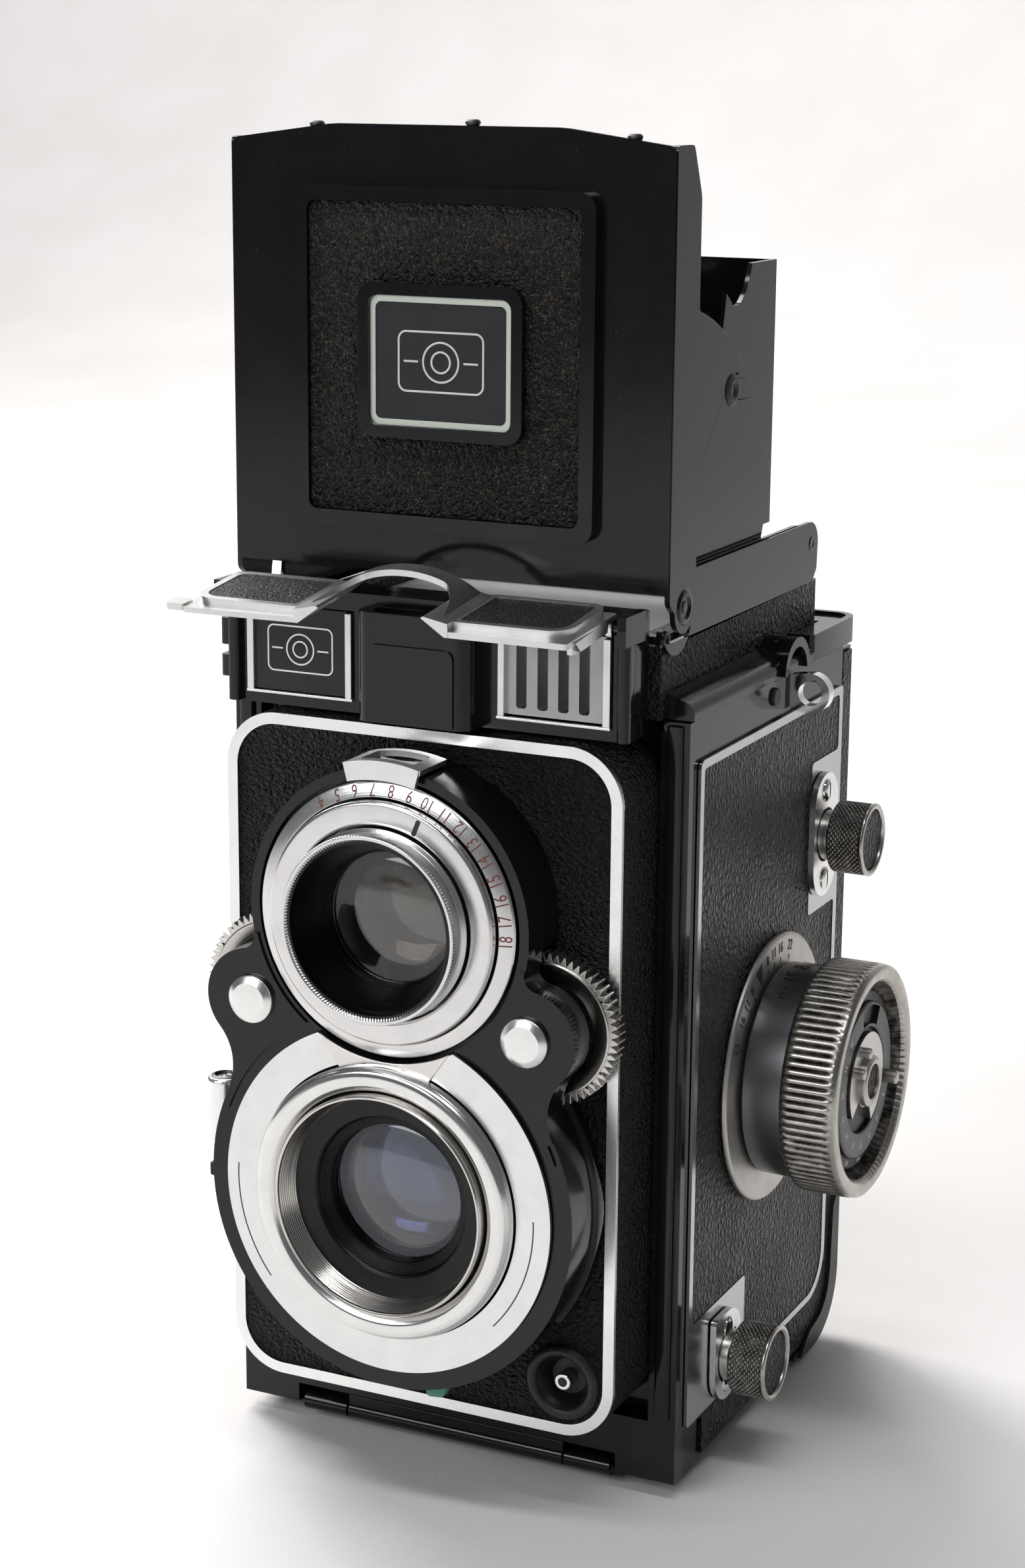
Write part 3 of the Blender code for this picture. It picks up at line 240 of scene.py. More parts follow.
def knurled(name, colour, centre, low, high, end, dark=(0.035, 0.03, 0.025)):
    """Worn plated metal whose grooves, between two radii and below a height, hold old grime."""
    look = Look(name, colour, 0.26, 1.0)
    at = look.place((1, 1, 1), (0, *centre))
    split = look.node("SeparateXYZ", {0: at})
    x, y, z = (split.outputs[i] for i in range(3))
    radius = look.math("SQRT", look.math("ADD", look.math("MULTIPLY", y, y), look.math("MULTIPLY", z, z)))
    inside = look.math("LESS_THAN", x, end)
    grime = look.math("MULTIPLY", look.remap(radius, low, high, 1.0, 0.0), inside)
    cloud = look.noise(at, 0.35, 4.0, 0.65)
    grime = look.math("MULTIPLY", grime, look.remap(cloud, 0.3, 0.6, 0.6, 1.0))
    tone = look.blend(look.remap(cloud, 0.35, 0.7), colour, tuple(c * 0.8 for c in colour))
    look.feed("Base Color", look.blend(grime, tone, dark))
    look.feed("Roughness", look.math("ADD", look.remap(cloud, 0.3, 0.7, 0.2, 0.32),
            look.math("MULTIPLY", grime, 0.35)))
    return look.feed("Normal", look.bump(look.noise(at, 6.0, 3.0), 0.02, 0.3)).material


def coated_glass(name, tint, film=0.0):
    """Lens glass with a coating that colours its reflections."""
    return Look(name, tint, 0.015, Transmission_Weight=1.0, IOR=1.62, Thin_Film_Thickness=film,
                Thin_Film_IOR=1.38).material


def inked(name, colour):
    """Flat paint with a little wear, for numerals and lines."""
    look = Look(name, colour, 0.55)
    worn = look.noise(look.place(), 3.0, 3.0, 0.7)
    return look.feed("Base Color", look.blend(worn, colour,
            tuple(min(c * 1.6 + 0.02, 1) for c in colour))).material


ENAMEL = enamel("black_enamel")
SATIN_BLACK = enamel("satin_black", (0.014, 0.014, 0.016), (0.34, 0.46), 0.3)
DARK_INSIDE = enamel("matt_black", (0.008, 0.008, 0.009), (0.6, 0.75), 0.1)
WORN_BLACK = enamel("worn_black", (0.03, 0.031, 0.034), (0.36, 0.5), 1.0)
BODY_LEATHER = leather("body_leather", 0.7, stretch=(1, 1, 0.8), depth=1.6)
BOARD_LEATHER = leather("board_leather", 0.78, (0.013, 0.013, 0.015), stretch=(0.9, 1, 1.15), depth=1.3)
PAD_LEATHER = leather("pad_leather", 1.1, (0.012, 0.012, 0.013), depth=0.45)
# The warm brown fourth colour of the lid's leather is painted glints on its pebble rims
LID_LEATHER = leather("lid_leather", 0.74, (0.013, 0.012, 0.012), (0.1, 0.07, 0.04), depth=1.1)
CHROME = metal("satin_chrome", (0.86, 0.86, 0.855), 0.26, 0.15, 0.5)
BRIGHT = metal("bright_chrome", (0.8, 0.8, 0.79), 0.12, 0.05, 0.3)
TRIM = metal("trim_chrome", (0.5, 0.5, 0.51), 0.22, 0.15, 0.5)
PEARL = metal("grained_chrome", (0.82, 0.82, 0.815), 0.33, 0.5, 0.7)
FLAP_CHROME = metal("flap_chrome", (0.66, 0.66, 0.655), 0.3, 0.5, 0.4)
NICKEL = metal("worn_nickel", (0.56, 0.545, 0.52), 0.3, 0.3, 1.2, pits=(0.12, 0.1, 0.08))
DRUM = metal("dark_drum", (0.3, 0.305, 0.315), 0.3, 0.2, 0.5)
IRON = metal("dark_iron", (0.09, 0.092, 0.098), 0.38, 0.4, 0.6)
BRASS = metal("aged_brass", (0.42, 0.33, 0.2), 0.35, 0.2, 0.6)
VIEW_METAL = lathed("view_ring_metal", (0.7, 0.695, 0.69), 0.2, VIEW_AT, "Y", 7.0, 0.3, 0.5)
TAKE_METAL = lathed("take_ring_metal", (0.76, 0.76, 0.755), 0.24, TAKE_AT, "Y", 7.0, 0.3, 0.5)
GRIP_METAL = knurled("grip_metal", (0.46, 0.44, 0.405), FOCUS, 18.9, 19.2, 57.0)
TAKEUP_METAL = knurled("takeup_metal", (0.55, 0.53, 0.5), TAKEUP, 5.85, 6.1, 48.95)
SUPPLY_METAL = knurled("supply_metal", (0.55, 0.53, 0.5), SUPPLY, 5.85, 6.1, 48.95)
KNOB_METAL = lathed("knob_metal", (0.54, 0.52, 0.49), 0.44, FOCUS_AT, "X", 5.0, 0.3)
VIEW_BLACK = lathed("view_barrel_black", (0.035, 0.033, 0.032), 0.3, VIEW_AT, "Y", 4.0, 0.6)
TAKE_BLACK = lathed("take_barrel_black", (0.03, 0.029, 0.03), 0.32, TAKE_AT, "Y", 4.0, 0.6)
VIEW_GLASS = coated_glass("view_coating", (0.93, 0.92, 0.9))
TAKE_GLASS = coated_glass("take_coating", (0.88, 0.91, 1.0))
BLACK_INK = inked("black_ink", (0.012, 0.012, 0.013))
RED_INK = inked("red_ink", (0.11, 0.018, 0.012))
WHITE_INK = inked("white_ink", (0.62, 0.6, 0.56))
GREEN_PAINT = inked("green_paint", (0.06, 0.22, 0.15))
BLANK_PLATE = enamel("plate_black", (0.016, 0.017, 0.019), (0.3, 0.4), 0.6)


# ---------------------------------------------------------------- mesh tools


def stand(name, sheet, at=(0, 0, 0), turn=TOP):
    """An object from a bmesh made in millimetres of a frame that stands at a point of the camera."""
    move = Matrix.Translation((Vector(at) + SHIFT) * MM) @ turn.to_4x4() @ Matrix.Scale(MM, 4)
    sheet.transform(move)
    bmesh.ops.recalc_face_normals(sheet, faces=sheet.faces)
    mesh = bpy.data.meshes.new(name)
    sheet.to_mesh(mesh)
    sheet.free()
    made = bpy.data.objects.new(name, mesh)
    bpy.context.scene.collection.objects.link(made)
    return made


def block(name, low, high):
    """A box between two corners."""
    sheet = bmesh.new()
    bmesh.ops.create_cube(sheet, size=1.0)
    size, middle = Vector(high) - Vector(low), (Vector(high) + Vector(low)) / 2
    for vertex in sheet.verts:
        vertex.co = Vector(c * s for c, s in zip(vertex.co, size)) + middle
    return stand(name, sheet)


def soften(points, radius, closed=False, steps=3):
    """Rounds the corners of a row of points, but not those on the axis."""
    count, made = len(points), []
    for i, here in enumerate(points):
        if not closed and i in (0, count - 1):
            made.append(here)
            continue
        b, a, c = Vector(here), Vector(points[i - 1]), Vector(points[(i + 1) % count])
        before, after = a - b, c - b
        turn = math.pi - before.angle(after, 0.0)
        if turn < 0.25 or min(before.length, after.length) < 0.02:
            made.append(here)
            continue
        reach = min(radius, before.length * 0.45, after.length * 0.45)
        first, last = b + before.normalized() * reach, b + after.normalized() * reach
        for k in range(steps + 1):
            t = k / steps
            made.append(tuple(first * (1 - t) ** 2 + b * 2 * t * (1 - t) + last * t * t))
    return made


def lathe(name, profile, at, turn, steps=128, closed=False, edge=0.12, ripple=None):
    """Turns (radius, height) points about the local z axis.

    ripple(angle, radius, height) adds to the radius.
    """
    points = soften(profile, edge, closed) if edge else list(profile)
    sheet = bmesh.new()
    rows = []
    for r, h in points:
        if r < 1e-6:
            rows.append([sheet.verts.new((0, 0, h))] * steps)
            continue
        row = []
        for i in range(steps):
            a = 2 * math.pi * i / steps
            here = r + (ripple(a, r, h) if ripple else 0.0)
            row.append(sheet.verts.new((here * math.cos(a), here * math.sin(a), h)))
        rows.append(row)
    pairs = list(zip(rows, rows[1:])) + ([(rows[-1], rows[0])] if closed else [])
    for low, high in pairs:
        for i in range(steps):
            j = (i + 1) % steps
            corners = list(dict.fromkeys((low[i], low[j], high[j], high[i])))
            if len(corners) > 2:
                sheet.faces.new(corners)
    return stand(name, sheet, at, turn)


def plate(name, loops, low, high, at=(0, 0, 0), turn=TOP):
    """A flat outline, with holes where loops lie inside it, between two heights of its frame."""
    curve = bpy.data.curves.new(name, "CURVE")
    curve.dimensions = "2D"
    curve.fill_mode = "BOTH"
    curve.extrude = (high - low) / 2
    for loop in loops:
        spline = curve.splines.new("POLY")
        spline.points.add(len(loop) - 1)
        spline.use_cyclic_u = True
        for point, (u, v) in zip(spline.points, loop):
            point.co = (u, v, 0.0, 1.0)
    sheet = outline_mesh(name, curve)
    bmesh.ops.translate(sheet, verts=sheet.verts, vec=(0, 0, (high + low) / 2))
    return stand(name, sheet, at, turn)


def outline_mesh(name, curve):
    """The mesh that a curve or a text makes, as a bmesh."""
    source = bpy.data.objects.new(name + "_outline", curve)
    bpy.context.scene.collection.objects.link(source)
    graph = bpy.context.evaluated_depsgraph_get()
    mesh = bpy.data.meshes.new_from_object(source.evaluated_get(graph))
    bpy.data.objects.remove(source, do_unlink=True)
    sheet = bmesh.new()
    sheet.from_mesh(mesh)
    bmesh.ops.remove_doubles(sheet, verts=sheet.verts, dist=0.001)
    return sheet


def lettering(name, words, size, spots, where, thick=0.02, narrow=0.85):
    """Raised numerals in one mesh, each word at a matrix in millimetres; where is a point and a frame."""
    whole = bmesh.new()
    for word, spot in zip(words, spots):
        curve = bpy.data.curves.new(name, "FONT")
        curve.body = word
        curve.size = size
        curve.extrude = thick
        curve.align_x = "CENTER"
        curve.align_y = "CENTER"
        curve.resolution_u = 3
        sheet = outline_mesh(name, curve)
        sheet.transform(spot @ Matrix.Diagonal((narrow, 1.0, 1.0, 1.0)))
        mesh = bpy.data.meshes.new(name)
        sheet.to_mesh(mesh)
        sheet.free()
        whole.from_mesh(mesh)
    return stand(name, whole, *where)


def round_spots(radius, angles, height, head=0.0):
    """Matrices for numerals on a ring, at angles clockwise from the top; head turns each in its place."""
    made = []
    for angle in angles:
        turn = Matrix.Rotation(math.radians(-angle), 4, "Z")
        made.append(turn @ Matrix.Translation((0, radius, height)) @ Matrix.Rotation(math.radians(head), 4,
                "Z"))
    return made


def bake(made):
    """Applies the modifiers of an object."""
    graph = bpy.context.evaluated_depsgraph_get()
    mesh = bpy.data.meshes.new_from_object(made.evaluated_get(graph))
    made.modifiers.clear()
    made.data = mesh
    return made


def combine(made, operation, tools):
    """Cuts or joins solids with Booleans, and removes the tools."""
    for tool in tools:
        step = made.modifiers.new("step", "BOOLEAN")
        step.operation = operation
        step.solver = "EXACT"
        step.object = tool
    bake(made)
    for tool in tools:
        bpy.data.objects.remove(tool, do_unlink=True)
    return made


def cut(made, *tools):
    return combine(made, "DIFFERENCE", tools)


def join(made, *tools):
    return combine(made, "UNION", tools)


def merge(made, *others, name=None):
    """Puts separate solids into one object."""
    sheet = bmesh.new()
    for one in (made, *others):
        sheet.from_mesh(one.data)
    mesh = bpy.data.meshes.new(made.name)
    sheet.to_mesh(mesh)
    sheet.free()
    made.data = mesh
    for one in others:
        bpy.data.objects.remove(one, do_unlink=True)
    made.name = name or made.name
    return made


def rod(name, radius, low, high, at, turn, steps=64):
    """A plain cylinder between two heights of its frame."""
    return lathe(name, [(0, high), (radius, high), (radius, low), (0, low)], at, turn, steps, edge=0)


def piece(made, body, slot, look, *nodes, edge=0.0, segments=3, angle=35, smooth=True):
    """Gives a piece its look, rounded edges and body, and hides the CAD nodes that it stands for."""
    if smooth:
        made.data.shade_smooth()
    if edge:
        bevel = made.modifiers.new("edge", "BEVEL")
        bevel.width = edge * MM
        bevel.segments = segments
        bevel.limit_method = "ANGLE"
        bevel.angle_limit = math.radians(angle)
        bevel.harden_normals = True
        bake(made)
    else:
        made.data.set_sharp_from_angle(angle=math.radians(angle))
    made.data.materials.clear()
    made.data.materials.append(look)
    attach(made, body)
    if nodes:
        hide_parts(*nodes)
    return made


def arc(centre, radius, start, end, count):
    """Points from one angle to another, in degrees, both ends included."""
    turn = [math.radians(start + (end - start) * i / count) for i in range(count + 1)]
    return [(centre[0] + radius * math.cos(a), centre[1] + radius * math.sin(a)) for a in turn]


def circle(centre, radius, count=96):
    return arc(centre, radius, 0, 360, count)[:-1]


def rounded(left, right, low, high, radius, count=10):
    """A rectangle with round corners; radius may be one value or four, from the lower left."""
    radii = radius if isinstance(radius, tuple) else (radius,) * 4
    corners = ((left, low, 1, 1, 180), (right, low, -1, 1, 270),
               (right, high, -1, -1, 0), (left, high, 1, -1, 90))
    points = []
    for (u, v, du, dv, start), r in zip(corners, radii):
        points += arc((u + du * r, v + dv * r), r, start, start + 90, count) if r else [(u, v)]
    return points


def mirrored(points):
    """The right half of an outline, followed by its mirror image."""
    return points + [(-u, v) for u, v in reversed(points)]


def meeting(first, r1, second, r2, side):
    """The centre at distance r1 from one point and r2 from another, on one side of their line."""
    a, b = Vector(first), Vector(second)
    span = (b - a).length
    along = (r1 * r1 - r2 * r2 + span * span) / (2 * span)
    off = math.sqrt(max(r1 * r1 - along * along, 0.0))
    line = (b - a) / span
    return a + line * along + Vector((line.y, -line.x)) * off * side


def flipped(side, points):
    """Points of an outline for the right side, or their mirror image for the left."""
    return [(side * u, v) for u, v in points]


def ends(side, low, high):
    """Two heights along x for a piece on the right side, or the same on the left."""
    return (low, high) if side > 0 else (-high, -low)


def outward(side):
    """The frame whose local z points away from the camera on one side."""
    return SIDE if side > 0 else SIDE @ Matrix.Rotation(math.pi, 3, "Y")


def heading(centre, point):
    """The direction from one point to another, in degrees."""
    return math.degrees(math.atan2(point[1] - centre[1], point[0] - centre[0]))


# ---------------------------------------------------------------- body


def make_casting():
    """The cast body: side walls with rounded front posts, the recessed front wall and the ledge under it."""
    wall = block("body_casting", (-39.3, 12.0, -11.0), (39.3, 79.6, 113.0))
    corner = arc((72.1, 4.6), 7.5, 0, -90, 12) + [(72.1, -11.9), (88.6, -11.9), (88.6, 4.6)]
    cut(
        wall,
        block("inside", (-37.8, 16.9, -12), (37.8, 80.6, 114)),
        block("door_gap", (-40.3, 15.6, -12), (40.3, 80.6, -2.9)),
        plate("foot_corner", [corner], -40.3, 40.3, turn=SIDE),
        block("barrel_gap", (-29, 11.0, -12), (29, 16.5, -7.7)),
        plate("board_recess", [rounded(-34.6, 34.6, 11.0, 15.4, (0, 0, 0.6, 0.6), 4)], -0.9, 114),
        block("top_gap", (-35.0, 11.0, 111.4), (35.0, 20.4, 114)),
        rod("view_way", 15.8, -20, 5, VIEW_AT, FRONT),
        rod("take_way", 24.4, -20, 5, TAKE_AT, FRONT, 96),
        rod("focus_way", 3.4, 30, 45, FOCUS_AT, SIDE, 32),
        rod("takeup_way", 4.6, 30, 45, TAKEUP_AT, SIDE, 32),
        rod("supply_way", 4.6, 30, 45, SUPPLY_AT, SIDE, 32),
        rod("advance_way", 3.2, -45, -30, TAKEUP_AT, SIDE, 32),
    )
    piece(wall, "camera_body", "enamel", ENAMEL, "body_shell", edge=0.55, angle=50)
    for side in (-1, 1):
        x = side * 37.0
        bead = plate("post_bead", [rounded(x - 1.3, x + 1.3, 11.25, 12.6, 0.6, 6)], -0.2, 112.4)
        piece(bead, "camera_body", "enamel", ENAMEL, edge=0.3)


def make_top_cover():
    """The painted shoulder round the finder: a rolled ledge at the front, a flat rimmed deck behind."""
    solids = []
    for side in (-1, 1):
        slope = [(35.2, 113.3), (39.8, 113.3), (39.8, 114.2)] + arc((37.9, 114.3), 1.9, 5, 62, 6)
        slope += [(35.2, 117.3)]
        ledge = plate("ledge", [flipped(side, slope)], -64.0, -12.3, turn=FRONT)
        boss = plate("boss", [arc((54.2, 113.4), 5.6, 0, 180, 24)], 34.6 if side > 0 else -40.6,
                     40.6 if side > 0 else -34.6, turn=SIDE)
        cut(boss, rod("boss_bore", 4.4, *ends(side, 38.0, 42.0), (0, 54.2, 113.0), SIDE))
        solids += [ledge, boss]
    deck = plate("top_cover", [rounded(-39.8, 39.8, 63.2, 86.2, (1.0, 1.0, 4.0, 4.0), 8)], 113.3, 117.6)
    join(deck, *solids)
    cut(deck, plate("hole", [rounded(-35.3, 35.3, 9.0, 78.5, 0.0)], 112, 120))
    rim = plate("rim", [rounded(-38.6, 38.6, 64.4, 85.0, (0.6, 0.6, 3.0, 3.0), 8)], 117.1, 119)
    cut(deck, rim)
    piece(deck, "camera_body", "enamel", ENAMEL, "top_cover", edge=0.45, angle=40)


def side_field(side, inset=0.0):
    """The opening of a side trim, which the leather fills."""
    i = inset
    points = [(16.6 + i, 105.2 - i), (77.0 - i, 105.2 - i)]
    if side > 0:
        points += [(77.0 - i, 95.8 + i), (64.5 - i, 95.8 + i), (64.5 - i, 69.5 - i), (77.0 - i, 69.5 - i)]
    points += arc((70.2, 5.4), 6.8 - i, 0, -90, 12)
    if side > 0:
        return points + [(39.5 + i, -1.4 + i), (39.5 + i, 14.6 + i), (16.6 + i, 14.6 + i)]
    return points + [(16.6 + i, -1.4 + i)]


def make_side(side, word):
    """A side's bright frame and the leather inside it."""
    low = 39.45 if side > 0 else -39.95
    outline = rounded(15.2, 78.6, -2.6, 106.6, (0.8, 8.0, 1.0, 1.4))
    trim = plate("side_trim", [outline, soften(side_field(side), 0.9, True)], low, low + 0.5, turn=SIDE)
    skin_low = 39.32 if side > 0 else -39.86
    skin = plate("side_leather", [soften(side_field(side, 0.08), 0.9, True)], skin_low, skin_low + 0.54,
            turn=SIDE)
    if side > 0:
        cut(trim, rod("bore", 4.6, -45, 45, TAKEUP_AT, SIDE), rod("bore", 4.6, -45, 45, SUPPLY_AT, SIDE))
    else:
        cut(skin, rod("bore", 3.0, -45, 45, TAKEUP_AT, SIDE))
    trim.name, skin.name = "side_frame_" + word, "side_leather_" + word
    piece(trim, "camera_body", "satin_chrome", TRIM, "side_trim_" + word, edge=0.14)
    piece(skin, "camera_body", "leather", BODY_LEATHER, edge=0.2)


def make_strap_lug(side, word):
    """A chrome eye on a square foot, under the boss of the cover."""
    x = side * 43.0
    outer = [(-3.3, -2.9), (-3.3, 2.9), (0.1, 3.3)] + arc((0.1, 0), 3.3, 85, -85, 20) + [(0.1, -3.3)]
    outer = flipped(side, outer)
    eye = plate("strap_eye_" + word, [outer, circle((side * 0.1, 0), 2.0, 40)], -1.1, 1.1, (x, 54.4, 110.1),
            FRONT)
    piece(eye, "camera_body", "satin_chrome", BRIGHT, "strap_lug_" + word, edge=0.45)
    low = 39.0 if side > 0 else -39.9
    dot = rod("dot", 1.5, low, low + 0.9, (0, 47.3, 110.4), SIDE, 32)
    dot.name = "strap_rivet_" + word
    piece(dot, "camera_body", "enamel", WORN_BLACK, edge=0.3)


def make_finder():
    """The leather-covered upper housing and the painted rails that the hood folds into."""
    housing = plate("finder_leather", [rounded(-35.0, 35.0, 10.4, 78.2, (0.3, 0.3, 1.6, 1.6), 6)], 113.3,
            124.5)
    slots = [block("slot", (min(a, b), 13.4, 100), (max(a, b), 76.8, 130)) for a,
            b in ((32.0, 34.3), (-32.0, -34.3))]
    cut(housing, block("under", (-34.3, 11.6, 100), (34.3, 76.8, 123.2)),
        plate("screen", [rounded(-28.5, 28.5, 20.5, 58.0, 1.5)], 120, 130), *slots)
    piece(housing, "camera_body", "leather", BODY_LEATHER, "finder_housing", edge=0.3, angle=50)
    rail = [(9.8, 124.8), (73.0, 124.8), (75.0, 126.6)] + arc((71.4, 131.0), 3.9, -10, 90, 10)
    rail += [(66.0, 134.9), (21.5, 134.9), (20.6, 128.4)] + arc((14.6, 128.2), 5.6, -8, -172,
            14) + [(8.6, 127.2)]
    rail += [(8.0, 124.8)]
    solids = [plate("rail", [soften(rail, 0.6, True)], *ends, turn=SIDE)
              for ends in ((34.95, 35.75), (-35.75, -34.95))]
    lip = [block("lip", (min(a, b), 21.5, 134.1), (max(a, b), 67.0, 134.9)) for a,
            b in ((34.2, 35.5), (-34.2, -35.5))]
    base = merge(block("hood_rails", (-35.6, 10.4, 124.8), (35.6, 12.4, 126.0)), *solids, *lip)
    piece(base, "camera_body", "enamel", ENAMEL, "hood_base", edge=0.25)
    for side in (-1, 1):
        for y, z, head in ((72.2, 131.2, 0.14), (9.9, 125.9, 0.4)):
            rivet = lathe("rail_rivet", [(0, 0.05), (0.55, 0.06), (0.75, head), (1.1, head), (1.3, 0.0),
                    (1.3, -0.2), (0, -0.2)],
                          (side * 35.75, y, z), outward(side), 32)
            piece(rivet, "camera_body", "enamel", ENAMEL)


# ---------------------------------------------------------------- hood


def make_lid():
    """The hood's front panel: a pressed plate, flanges, a raised frame, leather and a blank badge."""
    half, at = 36.6, (0, 0, 0)
    outline = mirrored([(half, 132.6), (half, 196.4), (36.0, 197.2), (19.8, 199.4), (18.0, 199.5)])
    lid = plate("hood_panel", [soften(outline, 1.0, True)], -LID_FACE - 1.0, -LID_FACE, at, FRONT)
    solids = []
    for side in (-1, 1):
        tongue = arc((LID_PIVOT[0] - 0.4, LID_PIVOT[1] - 0.4), 3.6, -180, 0, 20)
        flange = tongue + [(19.3, 134.0), (18.4, 139.0), (18.2, 144.0), (18.2, 190.0), (15.0, 197.3),
                (9.0, 197.3), (9.0, 131.0)]
        low = 35.95 if side > 0 else -36.8
        solids.append(plate("flange", [soften(flange, 0.8, True)], low, low + 0.85, at, SIDE))
    solids.append(block("lip", (-36.4, LID_FACE + 0.3, 196.3), (36.4, 16.0, 197.1)))
    lid = join(lid, *solids)
    piece(lid, "hood_lid", "enamel", ENAMEL, "hood_lid", edge=0.4, angle=40)
    ridge = plate("hood_ridge", [rounded(-25.0, 25.0, 139.3, 190.5, 2.6),
            rounded(-22.7, 22.7, 141.7, 188.3, 1.4)],
                  -LID_FACE - 0.4, -LID_FACE + 1.9, at, FRONT)
    piece(ridge, "hood_lid", "enamel", ENAMEL, edge=0.85, segments=6)
    skin = plate("hood_leather", [rounded(-22.6, 22.6, 141.8, 188.2, 1.3)], -LID_FACE - 0.2, -LID_FACE + 1.2,
            at, FRONT)
    piece(skin, "hood_lid", "leather", LID_LEATHER, edge=0.3)
    badge = plate("badge_frame", [rounded(-13.7, 13.7, 153.4, 176.5, 2.6),
            rounded(-11.9, 11.9, 155.2, 174.7, 1.6)],
                  -LID_FACE + 0.9, -LID_FACE + 2.6, at, FRONT)
    piece(badge, "hood_lid", "enamel", ENAMEL, "emblem_frame", edge=0.75, segments=6)
    line = plate("badge_border", [rounded(-11.85, 11.85, 155.25, 174.65, 1.5),
            rounded(-10.9, 10.9, 156.2, 173.7, 1.0)],
                 -LID_FACE + 1.0, -LID_FACE + 2.05, at, FRONT)
    piece(line, "hood_lid", "satin_chrome", metal("pale_border", (0.62, 0.66, 0.6), 0.4, 0.5, 1.0), edge=0.1)
    face = plate("badge_plate", [rounded(-10.95, 10.95, 156.15, 173.75, 1.0)], -LID_FACE + 0.9,
            -LID_FACE + 1.85, at, FRONT)
    piece(face, "hood_lid", "enamel", BLANK_PLATE, edge=0.05)
    emblem("badge_lines", 165.0, -LID_FACE + 1.85, 0.0, 1.0, "hood_lid", at)
    for x, low in ((-22.4, 198.7), (3.7, 199.3), (29.6, 197.7)):
        nub = lathe("hood_nub", [(0, 1.1), (0.8, 1.1), (1.15, 0.8), (1.15, 0.5), (0.9, 0.1), (0.9, -1.2),
                (0, -1.2)],
                    (x, LID_FACE + 1.2, low), TOP, 24)
        piece(nub, "hood_lid", "enamel", IRON)
    for side in (-1, 1):
        screw = lathe("hood_pivot_screw", [(0, 0.15), (0.9, 0.15), (1.0, -0.05), (1.5, -0.05), (1.9, 0.35),
                (2.5, 0.25),
                                           (2.9, -0.1), (2.9, -0.5), (0, -0.5)],
                      (side * 36.8, LID_PIVOT[0] - 0.3, LID_PIVOT[1]), outward(side), 48)
        piece(screw, "hood_lid", "enamel", ENAMEL)


def emblem(name, z, height, x, size, body, at):
    """A plain ornament for a badge: an outline with a lens of two circles."""
    s = size
    loops = [rounded(x - 7.2 * s, x + 7.2 * s, z - 4.6 * s, z + 4.6 * s, 1.4 * s),
             rounded(x - 6.9 * s, x + 6.9 * s, z - 4.3 * s, z + 4.3 * s, 1.1 * s)]
    lines = plate(name, loops, height - 0.02, height + 0.05, at, FRONT)
    rings = [plate("ring", [circle((x, z), r * s, 64), circle((x, z), (r - 0.3) * s, 64)], height - 0.02,
            height + 0.05, at, FRONT)
             for r in (3.1, 1.7)]
    bars = [plate("bar", [rounded(x + u * s - 1.2 * s, x + u * s + 1.2 * s, z - 0.15 * s, z + 0.15 * s, 0)],
                  height - 0.02, height + 0.05, at, FRONT) for u in (-5.0, 5.0)]
    piece(merge(lines, *rings, *bars), body, "satin_chrome", PEARL)


def make_hood_leaves():
    """The side leaves on the lid, and the rear wall with its wings."""
    for side, word in SIDES:
        outline = arc(LID_PIVOT, 44.0, 17.0, 76.0, 48)
        outline += [(22.0, 176.6), (17.0, 184.0), (10.4, 184.0), (10.4, 133.5), (14.0, 132.2), (52.0, 132.2)]
        leaf = plate("hood_leaf_" + word, [outline, circle(LEAF_PIVOT, 1.7, 32)], *ends(side, 33.3, 34.0),
                     turn=SIDE)
        piece(leaf, "hood_lid", "enamel", ENAMEL, "sector_" + word, edge=0.16)
    y, z = LEAF_PIVOT
    wing = [(59.3, 136.4), (59.3, 178.4), (48.9, 178.4), (48.2, 176.8), (46.6, 174.3), (44.4, 172.7),
            (42.6, 172.1), (41.0, 172.5),
            (38.4, 174.4)]
    wing += arc((y, z), 4.2, 150, 262, 16) + [(50.0, 141.4), (56.6, 136.4)]
    solids = []
    for side in (-1, 1):
        low, high = ends(side, 32.3, 33.0)
        solids.append(plate("wing", [wing], low, high, turn=SIDE))
        pin = ends(side, 32.5, 34.1)
        solids.append(rod("pin", 1.3, *pin, (0, y, z), SIDE, 32))
    back = join(block("hood_back", (-33.0, 58.7, 136.4), (33.0, 59.5, 178.4)), *solids)
    piece(back, "hood_rear", "enamel", ENAMEL, "hood_rear", edge=0.14)
    for side in (-1, 1):
        cup = lathe("leaf_rivet", [(0, 0.0), (0.8, 0.0), (1.1, 0.3), (1.6, 0.45), (2.3, 0.25), (2.6, 0.02),
                (2.6, -0.1), (0, -0.1)],
                    (side * 34.06, y, z), outward(side), 48)
        piece(cup, "hood_rear", "enamel", WORN_BLACK)


